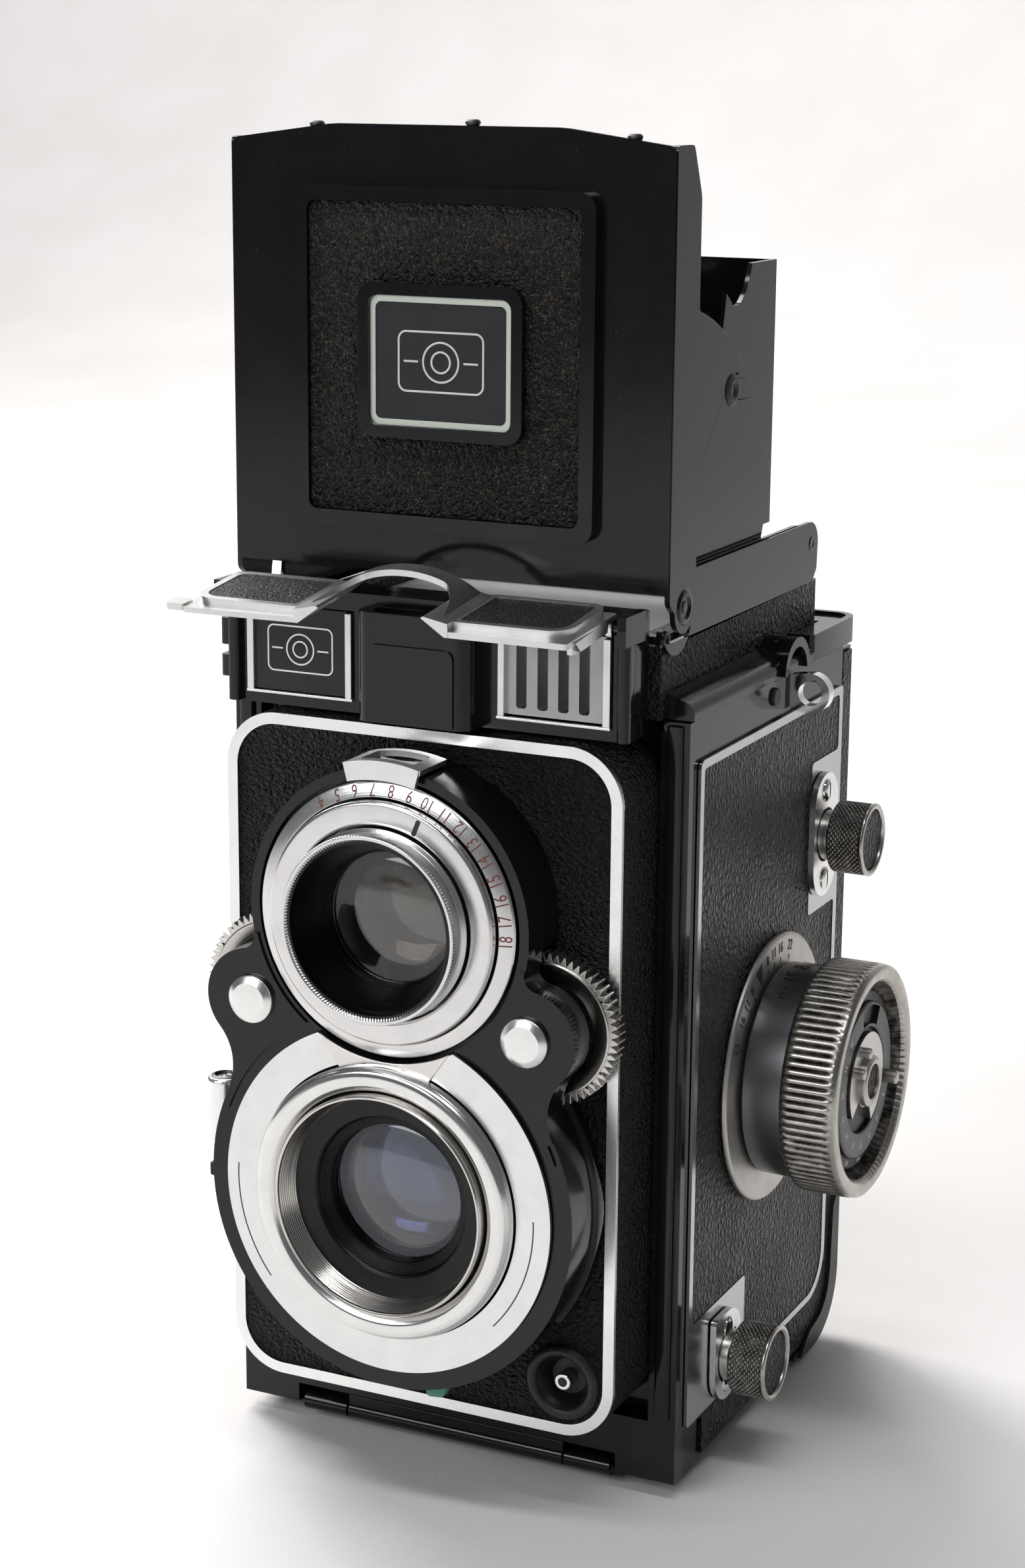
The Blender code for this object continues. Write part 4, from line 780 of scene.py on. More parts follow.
def make_magnifier():
    """The folding magnifier inside the lid."""
    y, z = MAGNIFIER
    ring = plate("magnifier_plate", [rounded(-13.0, 13.0, -22.4, 0.9, 2.0), circle((0, -11.6), 9.4)], -0.4,
            1.3, (0, y, z), FRONT)
    merge(ring, rod("hinge", 1.1, -12.0, 12.0, (0, y, z), SIDE, 32))
    piece(ring, "magnifier", "enamel", ENAMEL, "magnifier_frame", edge=0.25)
    lens = lathe("magnifier_glass", [(0, 1.15), (5.0, 0.98), (9.2, 0.5), (9.3, 0.1), (5.0, -0.1), (0, -0.2)],
                 (0, y, z - 11.6), FRONT, 96, edge=0.05)
    piece(lens, "magnifier", "lens_glass", coated_glass("magnifier_clear", (0.97, 0.98, 0.98)),
            "magnifier_lens")
    rim = lathe("magnifier_rim", [(9.0, 1.6), (9.9, 1.6), (10.1, 1.2), (9.9, 0.9), (9.0, 0.9)],
            (0, y, z - 11.6), FRONT, 96, True)
    piece(rim, "magnifier", "satin_chrome", BRIGHT)


# ---------------------------------------------------------------- light meter


def make_meter():
    """The meter's housing with its hump, the slotted cell and the blank plate in their bright frames."""
    housing = plate("meter_body", [rounded(-33.4, 33.4, 2.0, 10.1, 0.7, 5)], 111.4, 130.0)
    hump = plate("hump", [rounded(-9.7, 9.7, -3.0, 9.0, (2.6, 2.6, 0, 0))], 111.5, 128.3)
    ears = [block("ear", (min(a, b), -1.9, 126.4), (max(a, b), 6.0, 130.9)) for a,
            b in ((33.2, 34.6), (-33.2, -34.6))]
    join(housing, hump, *ears)
    cut(housing, block("cell_space", (12.2, -1, 113.2), (31.0, 7.0, 127.2)),
            block("panel_space", (-31.0, -1, 113.2), (-12.2, 3.6, 127.2)),
        plate("dish", [rounded(-7.6, 7.6, -2.0, 1.6, (2.4, 2.4, 0.2, 0.2))], 127.2, 129.0))
    piece(housing, "camera_body", "enamel", ENAMEL, "meter_housing", edge=0.45, angle=40)
    panel = plate("hump_panel", [rounded(-7.3, 7.3, 111.7, 123.6, (0.4, 0.4, 1.5, 1.5))], 2.6, 3.45,
            turn=FRONT)
    piece(panel, "camera_body", "enamel", ENAMEL, edge=0.4, segments=4)
    for x in (-33.0, 33.0):
        post = plate("meter_post", [rounded(x - 1.0, x + 1.0, 0.6, 3.4, 0.8, 6)], 111.6, 127.0)
        piece(post, "camera_body", "enamel", ENAMEL, edge=0.4)
    for low, high in ((115.2, 118.6), (120.2, 124.4)):
        clip = plate("meter_clip", [rounded(-35.6, -33.2, 1.2, 6.0, 0.9, 5)], low, high)
        piece(clip, "camera_body", "enamel", ENAMEL, edge=0.6, segments=4)
    pins = [rod("pin", 0.6, *ends, (0, *FLAP_AXIS), SIDE, 24) for ends in ((32.2, 33.9), (-33.9, -32.2))]
    piece(merge(*pins), "camera_body", "enamel", IRON).name = "flap_pins"
    for side, word in SIDES:
        bars = [block("bar", (min(side * a, side * b), 1.3, 113.6),
                (max(side * a, side * b), 2.6, 126.8)) for a, b in ((12.4, 13.5), (29.6, 30.8))]
        line = block("line", (min(side * 12.2, side * 30.9), 1.25, 113.15),
                (max(side * 12.2, side * 30.9), 2.2, 113.6))
        frame_bars = merge(line, *bars)
        frame_bars.name = "meter_frame_" + word
        piece(frame_bars, "camera_body", "satin_chrome", PEARL, edge=0.12)
    cell = block("meter_cell", (13.4, 2.2, 113.9), (29.7, 6.4, 127.0))
    cut(cell, *[plate("slot", [rounded(x - 0.85, x + 0.85, 114.9, 126.2, 0.5, 5)], -5.6, 0.0, turn=FRONT)
                for x in (16.0, 19.5, 22.9, 26.3)])
    cell_look = metal("cell_metal", (0.42, 0.43, 0.42), 0.42, 0.7, 0.8)
    piece(cell, "camera_body", "satin_chrome", cell_look, "meter_window", edge=0.25)
    panel = block("meter_name_plate", (-29.7, 1.9, 113.7), (-13.4, 3.4, 127.0))
    piece(panel, "camera_body", "enamel", BLANK_PLATE, "name_plate", edge=0.1)
    emblem("name_plate_lines", 120.4, -1.9, -21.6, 0.8, "camera_body", (0, 0, 0))


def make_flap():
    """The meter's cover, standing open and tipped down a little: two trays of leather joined by an arch."""
    at, tip = (0, -0.4, 130.2), Matrix.Rotation(math.radians(FLAP_TIP), 3, "X")
    solids = [arch_band(at, tip)]
    for side in (-1, 1):
        wing = flipped(side, soften([(12.0, -15.2), (31.6, -15.6), (32.4, 0.4), (12.0, 0.5)], 0.6, True))
        solids.append(plate("wing", [wing], 0.0, 0.9, at, tip))
        tray = flipped(side, rounded(12.3, 31.0, -13.8, 0.5, (0.8, 3.6, 2.4, 0.8)))
        dish = flipped(side, rounded(13.5, 29.8, -12.6, -0.7, (0.4, 2.6, 1.4, 0.4)))
        solids.append(plate("tray", [tray, dish], 0.6, 2.05, at, tip))
        wedge = [(8.4, 2.65), (8.8, 2.9), (12.7, 2.1), (12.7, 0.1), (12.1, 0.0)]
        solids.append(plate("flank", [flipped(side, wedge)], 0.4, 15.3, at, tip @ FRONT))
        low, high = ends(side, 31.2, 32.1)
        solids.append(plate("flange", [[(-13.6, 0.5), (-2.0, 0.5), (-2.6, -1.2), (-12.0, -1.2)]], low, high,
                at, tip @ SIDE))
        solids.append(plate("hinge", [rounded(-1.4, 1.2, -2.4, 0.6, 0.5, 4)], low, high, at, tip @ SIDE))
        tab = rounded(-34.9, -31.5, -15.2, -12.2, 0.7, 5) if side < 0 else rounded(29.9, 31.0, -12.2, -9.4,
                0.3, 4)
        solids.append(plate("tab", [tab], *((0.1, 1.2) if side < 0 else (-1.8, 0.4)), at, tip))
        pad = plate("flap_pad_right" if side > 0 else "flap_pad_left", [dish], 0.7, 1.95, at, tip)
        piece(pad, "meter_flap", "leather", PAD_LEATHER, edge=0.35)
    flap = merge(*solids, name="flap_frame")
    piece(flap, "meter_flap", "satin_chrome", FLAP_CHROME, "meter_flap", edge=0.2)


def arch_band(at, tip):
    """The thin strip over the hump, whose front edge turns forward where it meets the flanks."""
    across, along = 48, 4
    sheet = bmesh.new()
    tops, lows = [], []
    for i in range(across + 1):
        x = 10.9 * math.sin((-1 + 2 * i / across) * math.pi / 2)
        rise = 6.0 - 2.8 * (abs(x) / 10) ** 2.2
        front = -4.2 - 2.6 * max(0.0, (abs(x) - 6.6) / 2.4) ** 2
        ys = [-0.8 + (front + 0.8) * k / along for k in range(along + 1)]
        tops.append([sheet.verts.new((x, y, rise)) for y in ys])
        lows.append([sheet.verts.new((x * 0.985, y, rise - 0.95)) for y in ys])
    for grid in (tops, lows):
        for a, b in zip(grid, grid[1:]):
            for k in range(along):
                sheet.faces.new((a[k], a[k + 1], b[k + 1], b[k]))
    for i in range(across):
        for k in (0, along):
            sheet.faces.new((tops[i][k], tops[i + 1][k], lows[i + 1][k], lows[i][k]))
    for i in (0, across):
        for k in range(along):
            sheet.faces.new((tops[i][k], tops[i][k + 1], lows[i][k + 1], lows[i][k]))
    return stand("arch", sheet, at, tip)


# ---------------------------------------------------------------- front standard


def make_board():
    """The sliding front: leather sides, a bright rim and leather inside it."""
    outline = rounded(-33.75, 33.75, 0, 110.5, 8.75, 16)
    box = plate("board_box", [outline], -14.6, -0.6, turn=FRONT)
    cut(box, plate("hollow", [rounded(-32.75, 32.75, 1, 109.5, 7.75, 16)], -16, -2.4, turn=FRONT),
        rod("view_hole", 15.6, -5, 5, VIEW_AT, FRONT), rod("take_hole", 24.2, -5, 5, TAKE_AT, FRONT, 96),
        rod("socket_hole", 4.4, -5, 5, SOCKET_AT, FRONT, 32))
    piece(box, "front_standard", "leather", BOARD_LEATHER, "lens_board", edge=0.3, angle=50)
    trim = plate("board_rim", [rounded(-33.75, 33.75, 0, 110.5, 8.75, 20),
            rounded(-31.95, 31.95, 1.8, 108.7, 6.95, 20)],
                 -0.8, 0.1, turn=FRONT)
    piece(trim, "front_standard", "satin_chrome", CHROME, "board_trim", edge=0.3, segments=4)
    skin = plate("board_leather", [rounded(-31.9, 31.9, 1.85, 108.65, 6.9, 16)], -0.9, -0.15, turn=FRONT)
    cut(skin, rod("view_hole", 15.8, -5, 5, VIEW_AT, FRONT),
            rod("take_hole", 24.3, -5, 5, TAKE_AT, FRONT, 96),
        rod("socket_hole", 4.4, -5, 5, SOCKET_AT, FRONT, 32))
    piece(skin, "front_standard", "leather", BOARD_LEATHER, edge=0.15)


def waist_outline(shrink=0.0, fine=1):
    """The upper and lower circles of the shell, joined by a fillet at the waist."""
    upper, lower, fillet = (0.0, VIEW_Z), (0.0, TAKE_Z), 7.0
    view_r, take_r = VIEW_SHELL_R - shrink, TAKE_SHELL_R - shrink
    waist = meeting(upper, view_r + fillet, lower, take_r + fillet, -1)
    low_end, high_start = heading(lower, waist), heading(upper, waist)
    half = arc(lower, take_r, -90, low_end, 40 * fine)[1:]
    half += arc(waist, fillet, low_end + 180, high_start + 180, 12)[1:-1]
    half += arc(upper, view_r, high_start, 90, 28 * fine)[:-1]
    return mirrored(half)


def wing_outline():
    """The wings that carry the two setting wheels, faired into both circles."""
    upper, lower, hub = (0.0, VIEW_Z), (0.0, TAKE_Z), (HUB_X, HUB_Z)
    low = meeting(lower, TAKE_SHELL_R + 9.0, hub, 17.0, 1)
    high = meeting(hub, 10.2, upper, VIEW_SHELL_R + 2.2, 1)
    first, second = heading(lower, low), heading(hub, low)
    third, fourth = heading(hub, high), heading(upper, high)
    half = arc(lower, TAKE_SHELL_R - 1.0, 20, first, 6)
    half += arc(low, 9.0, first + 180, second + 180, 14)
    half += arc(hub, 8.0, second, third, 28)
    half += arc(high, 2.2, third + 180 if third < 0 else third - 180, fourth - 180, 8)
    half += arc(upper, VIEW_SHELL_R - 1.0, fourth, 30, 4)
    return mirrored(half)


def make_shell():
    """The shutter's black cover: a figure of eight with softly rolled edges and two raised wheel covers."""
    shell = plate("shutter_cover", [waist_outline()], -0.5, 10.5, turn=FRONT)
    join(shell, plate("wings", [wing_outline()], 5.6, 10.45, turn=FRONT))
    cut(shell,
        rod("view_bore", 15.3, -5, 15, VIEW_AT, FRONT, 90), rod("take_bore", 22.3, -5, 15, TAKE_AT, FRONT,
                100),
        rod("scale_recess", 22.1, 8.4, 15, VIEW_AT, FRONT, 94),
        *[rod("pocket", 12.9, 0.4, 5.0, (x, 0, HUB_Z), FRONT, 72) for x in (-HUB_X, HUB_X)],
        *[rod("bore", 1.6, 0, 15, (x, 0, HUB_Z), FRONT, 24) for x in (-HUB_X, HUB_X)],
        plate("lever_slot", [arc((0, 0), 26.0, -135, -60, 24) + arc((0, 0), 33.0, -60, -135, 24)], 1.0, 4.0,
                TAKE_AT, FRONT))
    piece(shell, "front_standard", "enamel", ENAMEL, "lens_shell", edge=0.8, segments=4, angle=50)
    for side, word in SIDES:
        cover = plate("cover", [wing_outline()], 10.2, 10.9, turn=FRONT)
        keep = block("keep", (-60, -20, 0), (12.6, 20, 120)) if side > 0 else block("keep", (-12.6, -20, 0),
                (60, 20, 120))
        cut(cover, keep, rod("upper", 22.9, 5, 15, VIEW_AT, FRONT, 120),
                rod("lower", 29.9, 5, 15, TAKE_AT, FRONT, 120),
            rod("bore", 1.7, 0, 15, (side * HUB_X, 0, HUB_Z), FRONT, 24))
        cover.name = "wheel_cover_" + word
        piece(cover, "front_standard", "enamel", ENAMEL, edge=0.35, segments=4)
    collar = lathe("shutter_collar", [(31.9, 0.0), (31.9, 2.4), (30.5, 3.2), (25.0, 3.2), (25.0, 0.0)],
            TAKE_AT, FRONT, 128, True, 0.4)
    cut(collar, block("off", (-40, -9, 60), (40, 9, 90)), block("off", (-40, -9, 0), (40, 9, 20)),
            block("off", (-40, -9, 0), (0, 9, 90)))
    piece(collar, "front_standard", "enamel", ENAMEL)


def knurl(count, depth, low, high, sharp=1.0):
    """A ripple of straight ribs between two heights."""
    def ripple(angle, _radius, height):
        if not low <= height <= high:
            return 0.0
        return -depth * (0.5 + 0.5 * math.cos(angle * count)) ** sharp
    return ripple


def make_view_lens():
    """The viewing lens: its bright tube, serrated rim, stepped cone and glasses."""
    tube = [(18.9, 8.8), (18.9, 12.95), (18.5, 13.3), (15.6, 13.3), (15.25, 13.1), (15.2, 9.4), (14.95, 9.4),
            (14.95, -5.0), (16, -5), (16, 8.8)]
    piece(lathe("view_ring", tube, VIEW_AT, FRONT, 180, True, 0.15), "front_standard", "satin_chrome",
            VIEW_METAL, "view_tube")
    rim = [(14.9, 9.0), (14.9, 13.6), (14.3, 14.1), (14.3, 16.3), (14.65, 16.4), (14.65, 17.0),
            (14.45, 17.3), (14.0, 17.3), (13.7, 16.9),
           (13.4, 9.0)]
    rim = lathe("view_rim", rim, VIEW_AT, FRONT, 180 * 6, True, 0.08, knurl(180, 0.22, 16.35, 17.1))
    piece(rim, "front_standard", "satin_chrome", VIEW_METAL, angle=30)
    cone = [(13.6, 16.9), (13.2, 16.9), (12.9, 15.6)]
    for k in range(9):
        r, h = 12.8 - 0.24 * k, 15.3 - 0.62 * k
        cone += [(r, h), (r - 0.14, h - 0.3)]
    cone += [(10.5, 9.7), (10.3, 9.3), (10.3, 4.0), (13.7, 4.0)]
    piece(lathe("view_cone", cone, VIEW_AT, FRONT, 128, True, 0.04), "front_standard", "enamel", VIEW_BLACK)
    lens = [(0, 10.4), (3, 10.3), (6, 9.95), (8.5, 9.4), (10.25, 8.8), (10.25, 7.4), (6, 8.3), (0, 8.8)]
    piece(lathe("view_front_glass", lens, VIEW_AT, FRONT, 128, edge=0.03), "front_standard", "lens_glass",
            VIEW_GLASS, "view_glass")
    inner = [(0, 3.4), (4, 3.1), (7.5, 2.2), (8.6, 1.7), (8.6, -2.4), (0, -2.6)]
    piece(lathe("view_back_glass", inner, VIEW_AT, FRONT, 96, edge=0.03), "front_standard", "lens_glass",
          coated_glass("view_inner_coating", (0.42, 0.36, 0.31)))
    throat = [(10.4, 7.3), (10.4, 3.9), (8.6, 2.0), (8.6, -4.8), (10.6, -4.8), (13.0, 3.9), (13.0, 7.3)]
    piece(lathe("view_throat", throat, VIEW_AT, FRONT, 96, True, 0.04), "front_standard", "enamel",
            VIEW_BLACK)
    mark = plate("view_index", [rounded(-0.38, 0.38, 15.6, 18.2, 0.25, 4)], 13.27, 13.34, VIEW_AT,
            FRONT @ Matrix.Rotation(math.radians(-22), 3, "Z"))
    piece(mark, "front_standard", "enamel", BLACK_INK)


def make_value_ring():
    """The numbered ring round the viewing lens."""
    ring = [(19.15, 8.8), (19.15, 11.55), (19.3, 11.65), (21.35, 10.95), (21.6, 10.6), (21.6, 8.8)]
    piece(lathe("value_scale", ring, VIEW_AT, FRONT, 180, True, 0.1), "light_value_ring", "satin_chrome",
            VIEW_METAL, "light_value_ring")
    words = [str(n) for n in range(4, 19)]
    angles = [-31.9 + 123.6 * i / 14 for i in range(15)]
    tilt = Matrix.Rotation(math.radians(-18), 4, "X")
    spots = [s @ tilt @ Matrix.Rotation(math.pi, 4, "Z") for s in round_spots(20.35, angles, 11.31)]
    red = lettering("value_numerals", words, 2.9, spots, (VIEW_AT, FRONT), narrow=0.72)
    piece(red, "light_value_ring", "lever_paint", RED_INK)


def make_take_lens():
    """The taking lens: its wide ring, bayonet, bell, cone, glasses and shutter blades."""
    ring = plate("name_ring", [circle((0, TAKE_Z), 28.0, 160)], 10.8, 11.45, turn=FRONT)
    cut(ring, rod("bore", 22.35, 0, 20, TAKE_AT, FRONT, 140), rod("clear", 22.4, 0, 20, VIEW_AT, FRONT, 140))
    piece(ring, "front_standard", "satin_chrome", TAKE_METAL, "mask_ring", edge=0.12)
    low = [math.radians(20.5 - 41.0 * i / 12) for i in range(13)]
    high = [math.radians(-30 + 60 * i / 16) for i in range(17)]
    saddle = [(21.9 * math.sin(a), TAKE_Z + 21.9 * math.cos(a)) for a in low]
    saddle += [(22.2 * math.sin(a), VIEW_Z - 22.2 * math.cos(a)) for a in high]
    band = plate("name_ring_saddle", [saddle], 11.0, 11.75, turn=FRONT)
    piece(band, "front_standard", "satin_chrome",
            metal("saddle_metal", (0.72, 0.7, 0.67), 0.24, 0.2, 0.3, (1, 1, 6)), edge=0.15)
    lines = []
    for r, start, end in ((26.0, 90 + 86, 90 + 128.5), (25.2, 90 - 87.4, 90 - 132.4)):
        loop = arc((0, TAKE_Z), r + 0.1, start, end, 40) + arc((0, TAKE_Z), r - 0.1, end, start, 40)
        lines.append(plate("line", [loop], 11.4, 11.48, turn=FRONT))
    lines = merge(*lines, name="name_ring_lines")
    piece(lines, "front_standard", "enamel", BLACK_INK)
    bayonet = [(17.9, 2.0), (17.9, 12.4), (18.3, 13.2), (19.2, 13.85), (20.4, 14.0), (21.4, 13.75),
            (21.95, 13.0), (22.1, 11.6), (22.1, -2.0)]
    piece(lathe("bayonet_ring", bayonet, TAKE_AT, FRONT, 180, True, 0.3), "front_standard", "satin_chrome",
          lathed("bayonet_metal", (0.76, 0.76, 0.75), 0.16, TAKE_AT, "Y", 5.0, 0.2, 0.4), "take_tube")
    bell = [(17.85, 12.0), (17.8, 14.2), (17.55, 14.6), (17.25, 14.5)]
    for k in range(9):
        r, h = 17.15 - 0.09 * k, 14.1 - 0.42 * k
        bell += [(r, h), (r - 0.16, h - 0.21)]
    bell += [(16.2, 10.2), (16.2, 6.5), (17.8, 6.5)]
    piece(lathe("take_bell", bell, TAKE_AT, FRONT, 180, True, 0.03), "front_standard", "satin_chrome",
          lathed("bell_metal", (0.66, 0.64, 0.61), 0.2, TAKE_AT, "Y", 6.0, 0.3))
    cone = [(16.3, 10.5), (15.9, 10.45), (13.2, 9.9), (12.9, 9.6)]
    for k in range(7):
        r, h = 12.75 - 0.23 * k, 9.35 - 0.2 * k
        cone += [(r, h), (r - 0.1, h - 0.24)]
    cone += [(11.12, 7.6), (11.1, 3.0), (16.3, 3.0)]
    piece(lathe("take_cone", cone, TAKE_AT, FRONT, 128, True, 0.04), "front_standard", "enamel", TAKE_BLACK)
    lens = [(0, 8.2), (3.5, 8.05), (7, 7.55), (9.5, 6.9), (11.05, 6.3), (11.05, 5.2), (7, 6.0), (0, 6.6)]
    piece(lathe("take_front_glass", lens, TAKE_AT, FRONT, 128, edge=0.03), "front_standard", "lens_glass",
            TAKE_GLASS, "take_glass")
    inner = [(0, 2.6), (4, 2.3), (7.5, 1.4), (8.6, 1.0), (8.6, 0.0), (0, -0.2)]
    piece(lathe("take_inner_glass", inner, TAKE_AT, FRONT, 96, edge=0.03), "front_standard", "lens_glass",
          coated_glass("take_inner_coating", (0.35, 0.4, 0.72)))
    throat = [(11.2, 5.1), (11.2, 3.1), (8.6, 1.2), (8.6, -2.4), (15.0, -2.4), (15.0, 5.1)]
    piece(lathe("take_throat", throat, TAKE_AT, FRONT, 96, True, 0.04), "front_standard", "enamel",
            TAKE_BLACK)
    blades = []
    for i in range(5):
        turn = FRONT @ Matrix.Rotation(2 * math.pi * i / 5, 3, "Z") @ Matrix.Rotation(0.05, 3, "X")
        leaf = soften([(-0.6, -0.6), (8.6, -2.4), (8.2, 5.2), (1.2, 5.6)], 0.8, True)
        blades.append(plate("blade", [leaf], -1.3, -1.2, TAKE_AT, turn))
    blades = merge(*blades, name="shutter_blades")
    piece(blades, "front_standard", "enamel", metal("blade_steel", (0.03, 0.032, 0.04), 0.35, 0.1, 0.2))


def make_front_details():
    """The flash socket, the value window, the sync lever and the two setting wheels."""
    socket = [(0, 0.3), (0.7, 0.3), (0.75, -2.6), (3.0, -2.8), (4.6, 0.75), (5.3, 0.95), (6.0, 0.6),
            (6.2, 0.0), (6.2, -0.5), (4.2, -0.5),
              (4.2, -4.5), (0, -4.5)]
    piece(lathe("socket_cup", socket, SOCKET_AT, FRONT, 96, edge=0.25), "front_standard", "plastic",
            SATIN_BLACK, "flash_socket")
    pin = [(0.75, 0.2), (1.25, 0.2), (1.35, 0.05), (1.35, -2.4), (0.75, -2.4)]
    piece(lathe("socket_pin", pin, SOCKET_AT, FRONT, 48, True, 0.05), "front_standard", "satin_chrome",
            BRIGHT)
    throat = [(2.9, -2.4), (3.05, -2.35), (4.35, 0.2), (4.25, 0.3)]
    piece(lathe("socket_throat", throat, SOCKET_AT, FRONT, 64, True, 0.0), "front_standard", "worn_nickel",
            IRON)
    outer = arc((0, VIEW_Z), 24.9, 75.0, 105.0, 20) + arc((0, VIEW_Z), 24.0, 105.0, 75.0, 20)
    face = arc((0, VIEW_Z), 24.95, 75.2, 104.8, 20) + arc((0, VIEW_Z), 22.0, 104.8, 75.2, 20)
    hood = plate("window_hood", [outer], 3.4, 12.0, turn=FRONT)
    hole = plate("hole", [rounded(-4.5, 4.5, -10.6, -4.8, 0.6, 4)], 104.0, 112.0)
    cut(hood, hole)
    piece(hood, "front_standard", "satin_chrome", PEARL, "value_window", edge=0.16)
    shield = plate("window_face", [face], 11.8, 12.5, turn=FRONT)
    piece(shield, "front_standard", "satin_chrome", PEARL, edge=0.22)
    pane = block("window_pane", (-4.6, -10.7, 106.3), (4.6, -4.7, 106.9))
    piece(pane, "front_standard", "screen_glass", coated_glass("window_clear", (0.85, 0.82, 0.78)), edge=0.05)
    arm = arc((0, 0), 27.0, -100, -72, 20) + arc((0, 0), 31.0, -72, -100, 20)
    arm = plate("sync_arm", [arm], 1.5, 3.2, TAKE_AT, FRONT)
    piece(arm, "sync_lever", "enamel", ENAMEL, "sync_lever", edge=0.2)
    green = arc((0, 0), 30.4, -87.2, -79.5, 8) + [(7.3, -31.3), (5.9, -35.0), (3.2, -35.3)]
    white = arc((0, 0), 30.4, -76.4, -70.5, 8) + arc((0, 0), 33.2, -70.8, -76.6, 6)
    for word, loop, look in (("green", green, GREEN_PAINT), ("white", white, WHITE_INK)):
        tip = plate("sync_tip_" + word, [soften(loop, 0.5, True)], 1.7, 3.3, TAKE_AT, FRONT)
        piece(tip, "sync_lever", "lever_paint", look, edge=0.3)
    for side, name in ((1, "speed_wheel"), (-1, "aperture_wheel")):
        at = (side * HUB_X, 0, HUB_Z)
        teeth = []
        for i in range(60):
            for step, r in ((0.0, 10.75), (0.38, 11.9), (0.5, 12.0), (0.62, 11.9)):
                a = 2 * math.pi * (i + step) / 60
                teeth.append((r * math.cos(a), r * math.sin(a)))
        wheel = plate(name + "_teeth", [teeth, circle((0, 0), 9.6)], 1.3, 4.1, at, FRONT)
        metal_look = lathed(name + "_metal", (0.6, 0.585, 0.555), 0.26, (side * HUB_X, 0, HUB_Z), "Y", 5.0,
                0.4)
        piece(wheel, name, "worn_nickel", metal_look, name, edge=0.12, segments=2)
        dish = [(1.5, 3.2), (7.5, 3.2), (8.4, 3.7), (10.3, 4.3), (10.6, 4.15), (10.4, 1.5), (1.5, 1.5)]
        piece(lathe(name + "_dish", dish, at, FRONT, 128, True, 0.2), name, "worn_nickel", metal_look)
        cap = [(0, 12.35), (2.75, 12.35), (2.85, 12.3), (3.75, 11.75), (3.85, 11.6), (3.85, 10.95),
                (1.35, 10.95), (1.35, 3.0), (0, 3.0)]
        cap_look = lathed(name + "_cap_metal", (0.8, 0.8, 0.79), 0.2, (side * HUB_X, 0, HUB_Z), "Y", 9.0,
                0.35, 0.6)
        piece(lathe(name + "_cap", cap, at, FRONT, 96, edge=0.05), name, "satin_chrome", cap_look)


def make_release():
    """The release button on its guide stem, beside the lens board."""
    bracket = block("release_arm", (-39.2, 1.2, 31.4), (-33.6, 4.8, 33.8))
    piece(bracket, "front_standard", "enamel", ENAMEL, "release_bracket", edge=0.4)
    piece(rod("release_stem", 1.2, 33.0, 41.5, RELEASE_AT, TOP, 32), "front_standard", "satin_chrome", BRIGHT)
    button = [(0, 46.4), (1.4, 46.4), (1.6, 48.2), (2.4, 48.6), (2.9, 48.1), (2.9, 38.0), (1.6, 38.0),
            (1.6, 45.4), (0, 45.4)]
    piece(lathe("release_cap", button, RELEASE_AT, TOP, 64, edge=0.25), "release_button", "satin_chrome",
            CHROME, "release_button")
    lip = [(1.45, 48.3), (1.75, 48.75), (2.2, 48.6), (1.9, 48.2)]
    piece(lathe("release_lip", lip, RELEASE_AT, TOP, 48, True, 0.0), "release_button", "enamel", IRON)


# ---------------------------------------------------------------- knobs, dials and spools


